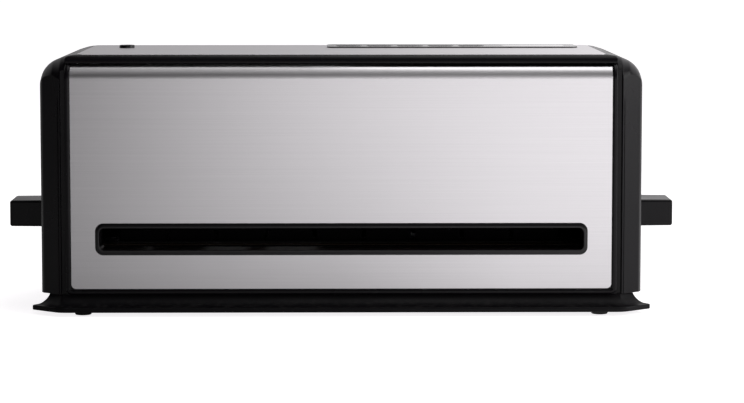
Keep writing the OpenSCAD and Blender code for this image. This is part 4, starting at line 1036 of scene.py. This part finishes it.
def makeStage():
    # pale floor: plain white to the camera; to the steel, painted light that sweeps from dim left to bright right,
    # with a painted shadow that dims it near the object
    sweep = {"seen": 0.86, "nearY": -0.14, "farY": -1.05, "near": 0.14, "nearRight": 0.42,
             "reach": 9.0, "drop": -0.2 * mm}
    s = Shader("paleFloor")
    light = s.node("ShaderNodeLightPath")
    where = s.node("ShaderNodeSeparateXYZ", {0: s.node("ShaderNodeNewGeometry").outputs["Position"]})
    x, y = where.outputs["X"], where.outputs["Y"]
    u = s.math("DIVIDE", x, s.math("MAXIMUM", s.math("SUBTRACT", fall["mirrorY"], y), 0.1))
    # painted shadow: near the object the floor's glow drops to near (left) and nearRight (right), rising to full
    # by farY
    paintedShadowTone = s.ramp(u, 0.0, 0.07, sweep["near"], sweep["nearRight"])
    paintedShadowFade = s.ramp(y, sweep["nearY"], sweep["farY"], paintedShadowTone, 1.0)
    paintedFloorGlow = s.math("MULTIPLY", acrossLight(s, u), paintedShadowFade)
    seen = s.math("MULTIPLY", light.outputs["Is Camera Ray"], sweep["seen"])
    notSeen = s.math("SUBTRACT", 1.0, light.outputs["Is Camera Ray"])
    glow = s.math("ADD", seen, s.math("MULTIPLY", notSeen, paintedFloorGlow))
    diffuse = s.node("ShaderNodeBsdfDiffuse", {"Color": (0.6, 0.6, 0.6, 1)})
    emission = s.node("ShaderNodeEmission", {"Color": (1, 0.985, 1, 1), "Strength": glow})
    both = s.node("ShaderNodeAddShader", {0: diffuse.outputs[0], 1: emission.outputs[0]})
    material = endMaterial(s, both)
    corner = np.array([-sweep["reach"], sweep["reach"]])
    gx, gy = np.meshgrid(corner, corner)
    grid = np.stack([gx, gy, np.full(gx.shape, sweep["drop"])], -1)
    floor = surface("studioFloor", [(grid, False)], facing=(0, 0, 1))
    floor.data.materials.append(material)


def makeWorld():
    # in front: bright low band, a dark gap above it, then a bright ceiling; behind: an even wall
    sky = {"gapLow": 0.02, "gapHigh": 0.20, "gap": 0.07,
           "ceilingLow": 0.62, "ceilingHigh": 0.95, "ceiling": 0.42,
           "behindLeft": 0.46, "behindRight": 0.95}
    world = bpy.data.worlds.new("studio")
    scene.world = world
    world.use_nodes = True
    tree = world.node_tree
    tree.nodes.clear()
    s = Shader("studio", tree)
    way = s.node("ShaderNodeTexCoord").outputs["Generated"]
    parts = s.node("ShaderNodeSeparateXYZ", {0: way})
    x, y, z = parts.outputs["X"], parts.outputs["Y"], parts.outputs["Z"]
    u = s.math("DIVIDE", x, s.math("MAXIMUM", s.math("ABSOLUTE", y), 0.1))
    lowBand = s.ramp(z, sky["gapLow"], sky["gapHigh"], 1.0, sky["gap"])
    overhead = s.ramp(z, sky["ceilingLow"], sky["ceilingHigh"], 0.0, sky["ceiling"])
    front = s.math("MULTIPLY", acrossLight(s, u), s.math("ADD", lowBand, overhead))
    rear = s.ramp(x, 0.0, 0.11, sky["behindLeft"], sky["behindRight"])
    isBehind = s.ramp(y, 0.1, 0.5)
    isFront = s.math("SUBTRACT", 1.0, isBehind)
    strength = s.math("ADD", s.math("MULTIPLY", front, isFront), s.math("MULTIPLY", rear, isBehind))
    seen = s.node("ShaderNodeLightPath").outputs["Is Camera Ray"]
    total = s.math("ADD", seen, s.math("MULTIPLY", s.math("SUBTRACT", 1.0, seen), strength))
    background = s.node("ShaderNodeBackground", {"Color": (1, 0.985, 1, 1), "Strength": total})
    output = s.node("ShaderNodeOutputWorld")
    tree.links.new(background.outputs[0], output.inputs["Surface"])


def softbox(name, position, target, width, height, power):
    light = bpy.data.lights.new(name, "AREA")
    light.shape = "RECTANGLE"
    light.size = width
    light.size_y = height
    light.energy = power
    held = bpy.data.objects.new(name, light)
    scene.collection.objects.link(held)
    held.location = position
    held.rotation_euler = (Vector(target) - Vector(position)).to_track_quat("-Z", "Y").to_euler()


def makeCamera():
    view = {"place": (1.5 * mm, -1.66, 0.2445), "lens": 119.65, "tilt": -4.79, "turn": -0.654,
            "shift": -0.08}
    camera = bpy.data.cameras.new("productCamera")
    camera.lens = view["lens"]
    camera.sensor_width = 36
    camera.shift_y = view["shift"]
    camera.clip_start = 0.05
    camera.clip_end = 60
    held = bpy.data.objects.new("productCamera", camera)
    scene.collection.objects.link(held)
    held.location = view["place"]
    held.rotation_euler = (math.radians(90 + view["tilt"]), 0, math.radians(view["turn"]))
    scene.camera = held


makeStage()
makeWorld()
aim = (0, 0, 0.08)
softbox("rightSoftbox", (1.7, -0.5, 0.7), aim, width=0.9, height=1.2, power=16)
softbox("overheadSoftbox", (0.3, 0.1, 1.6), aim, width=1.6, height=0.9, power=7)
makeCamera()
scene.view_settings.view_transform = "Standard"
print("stage ready")
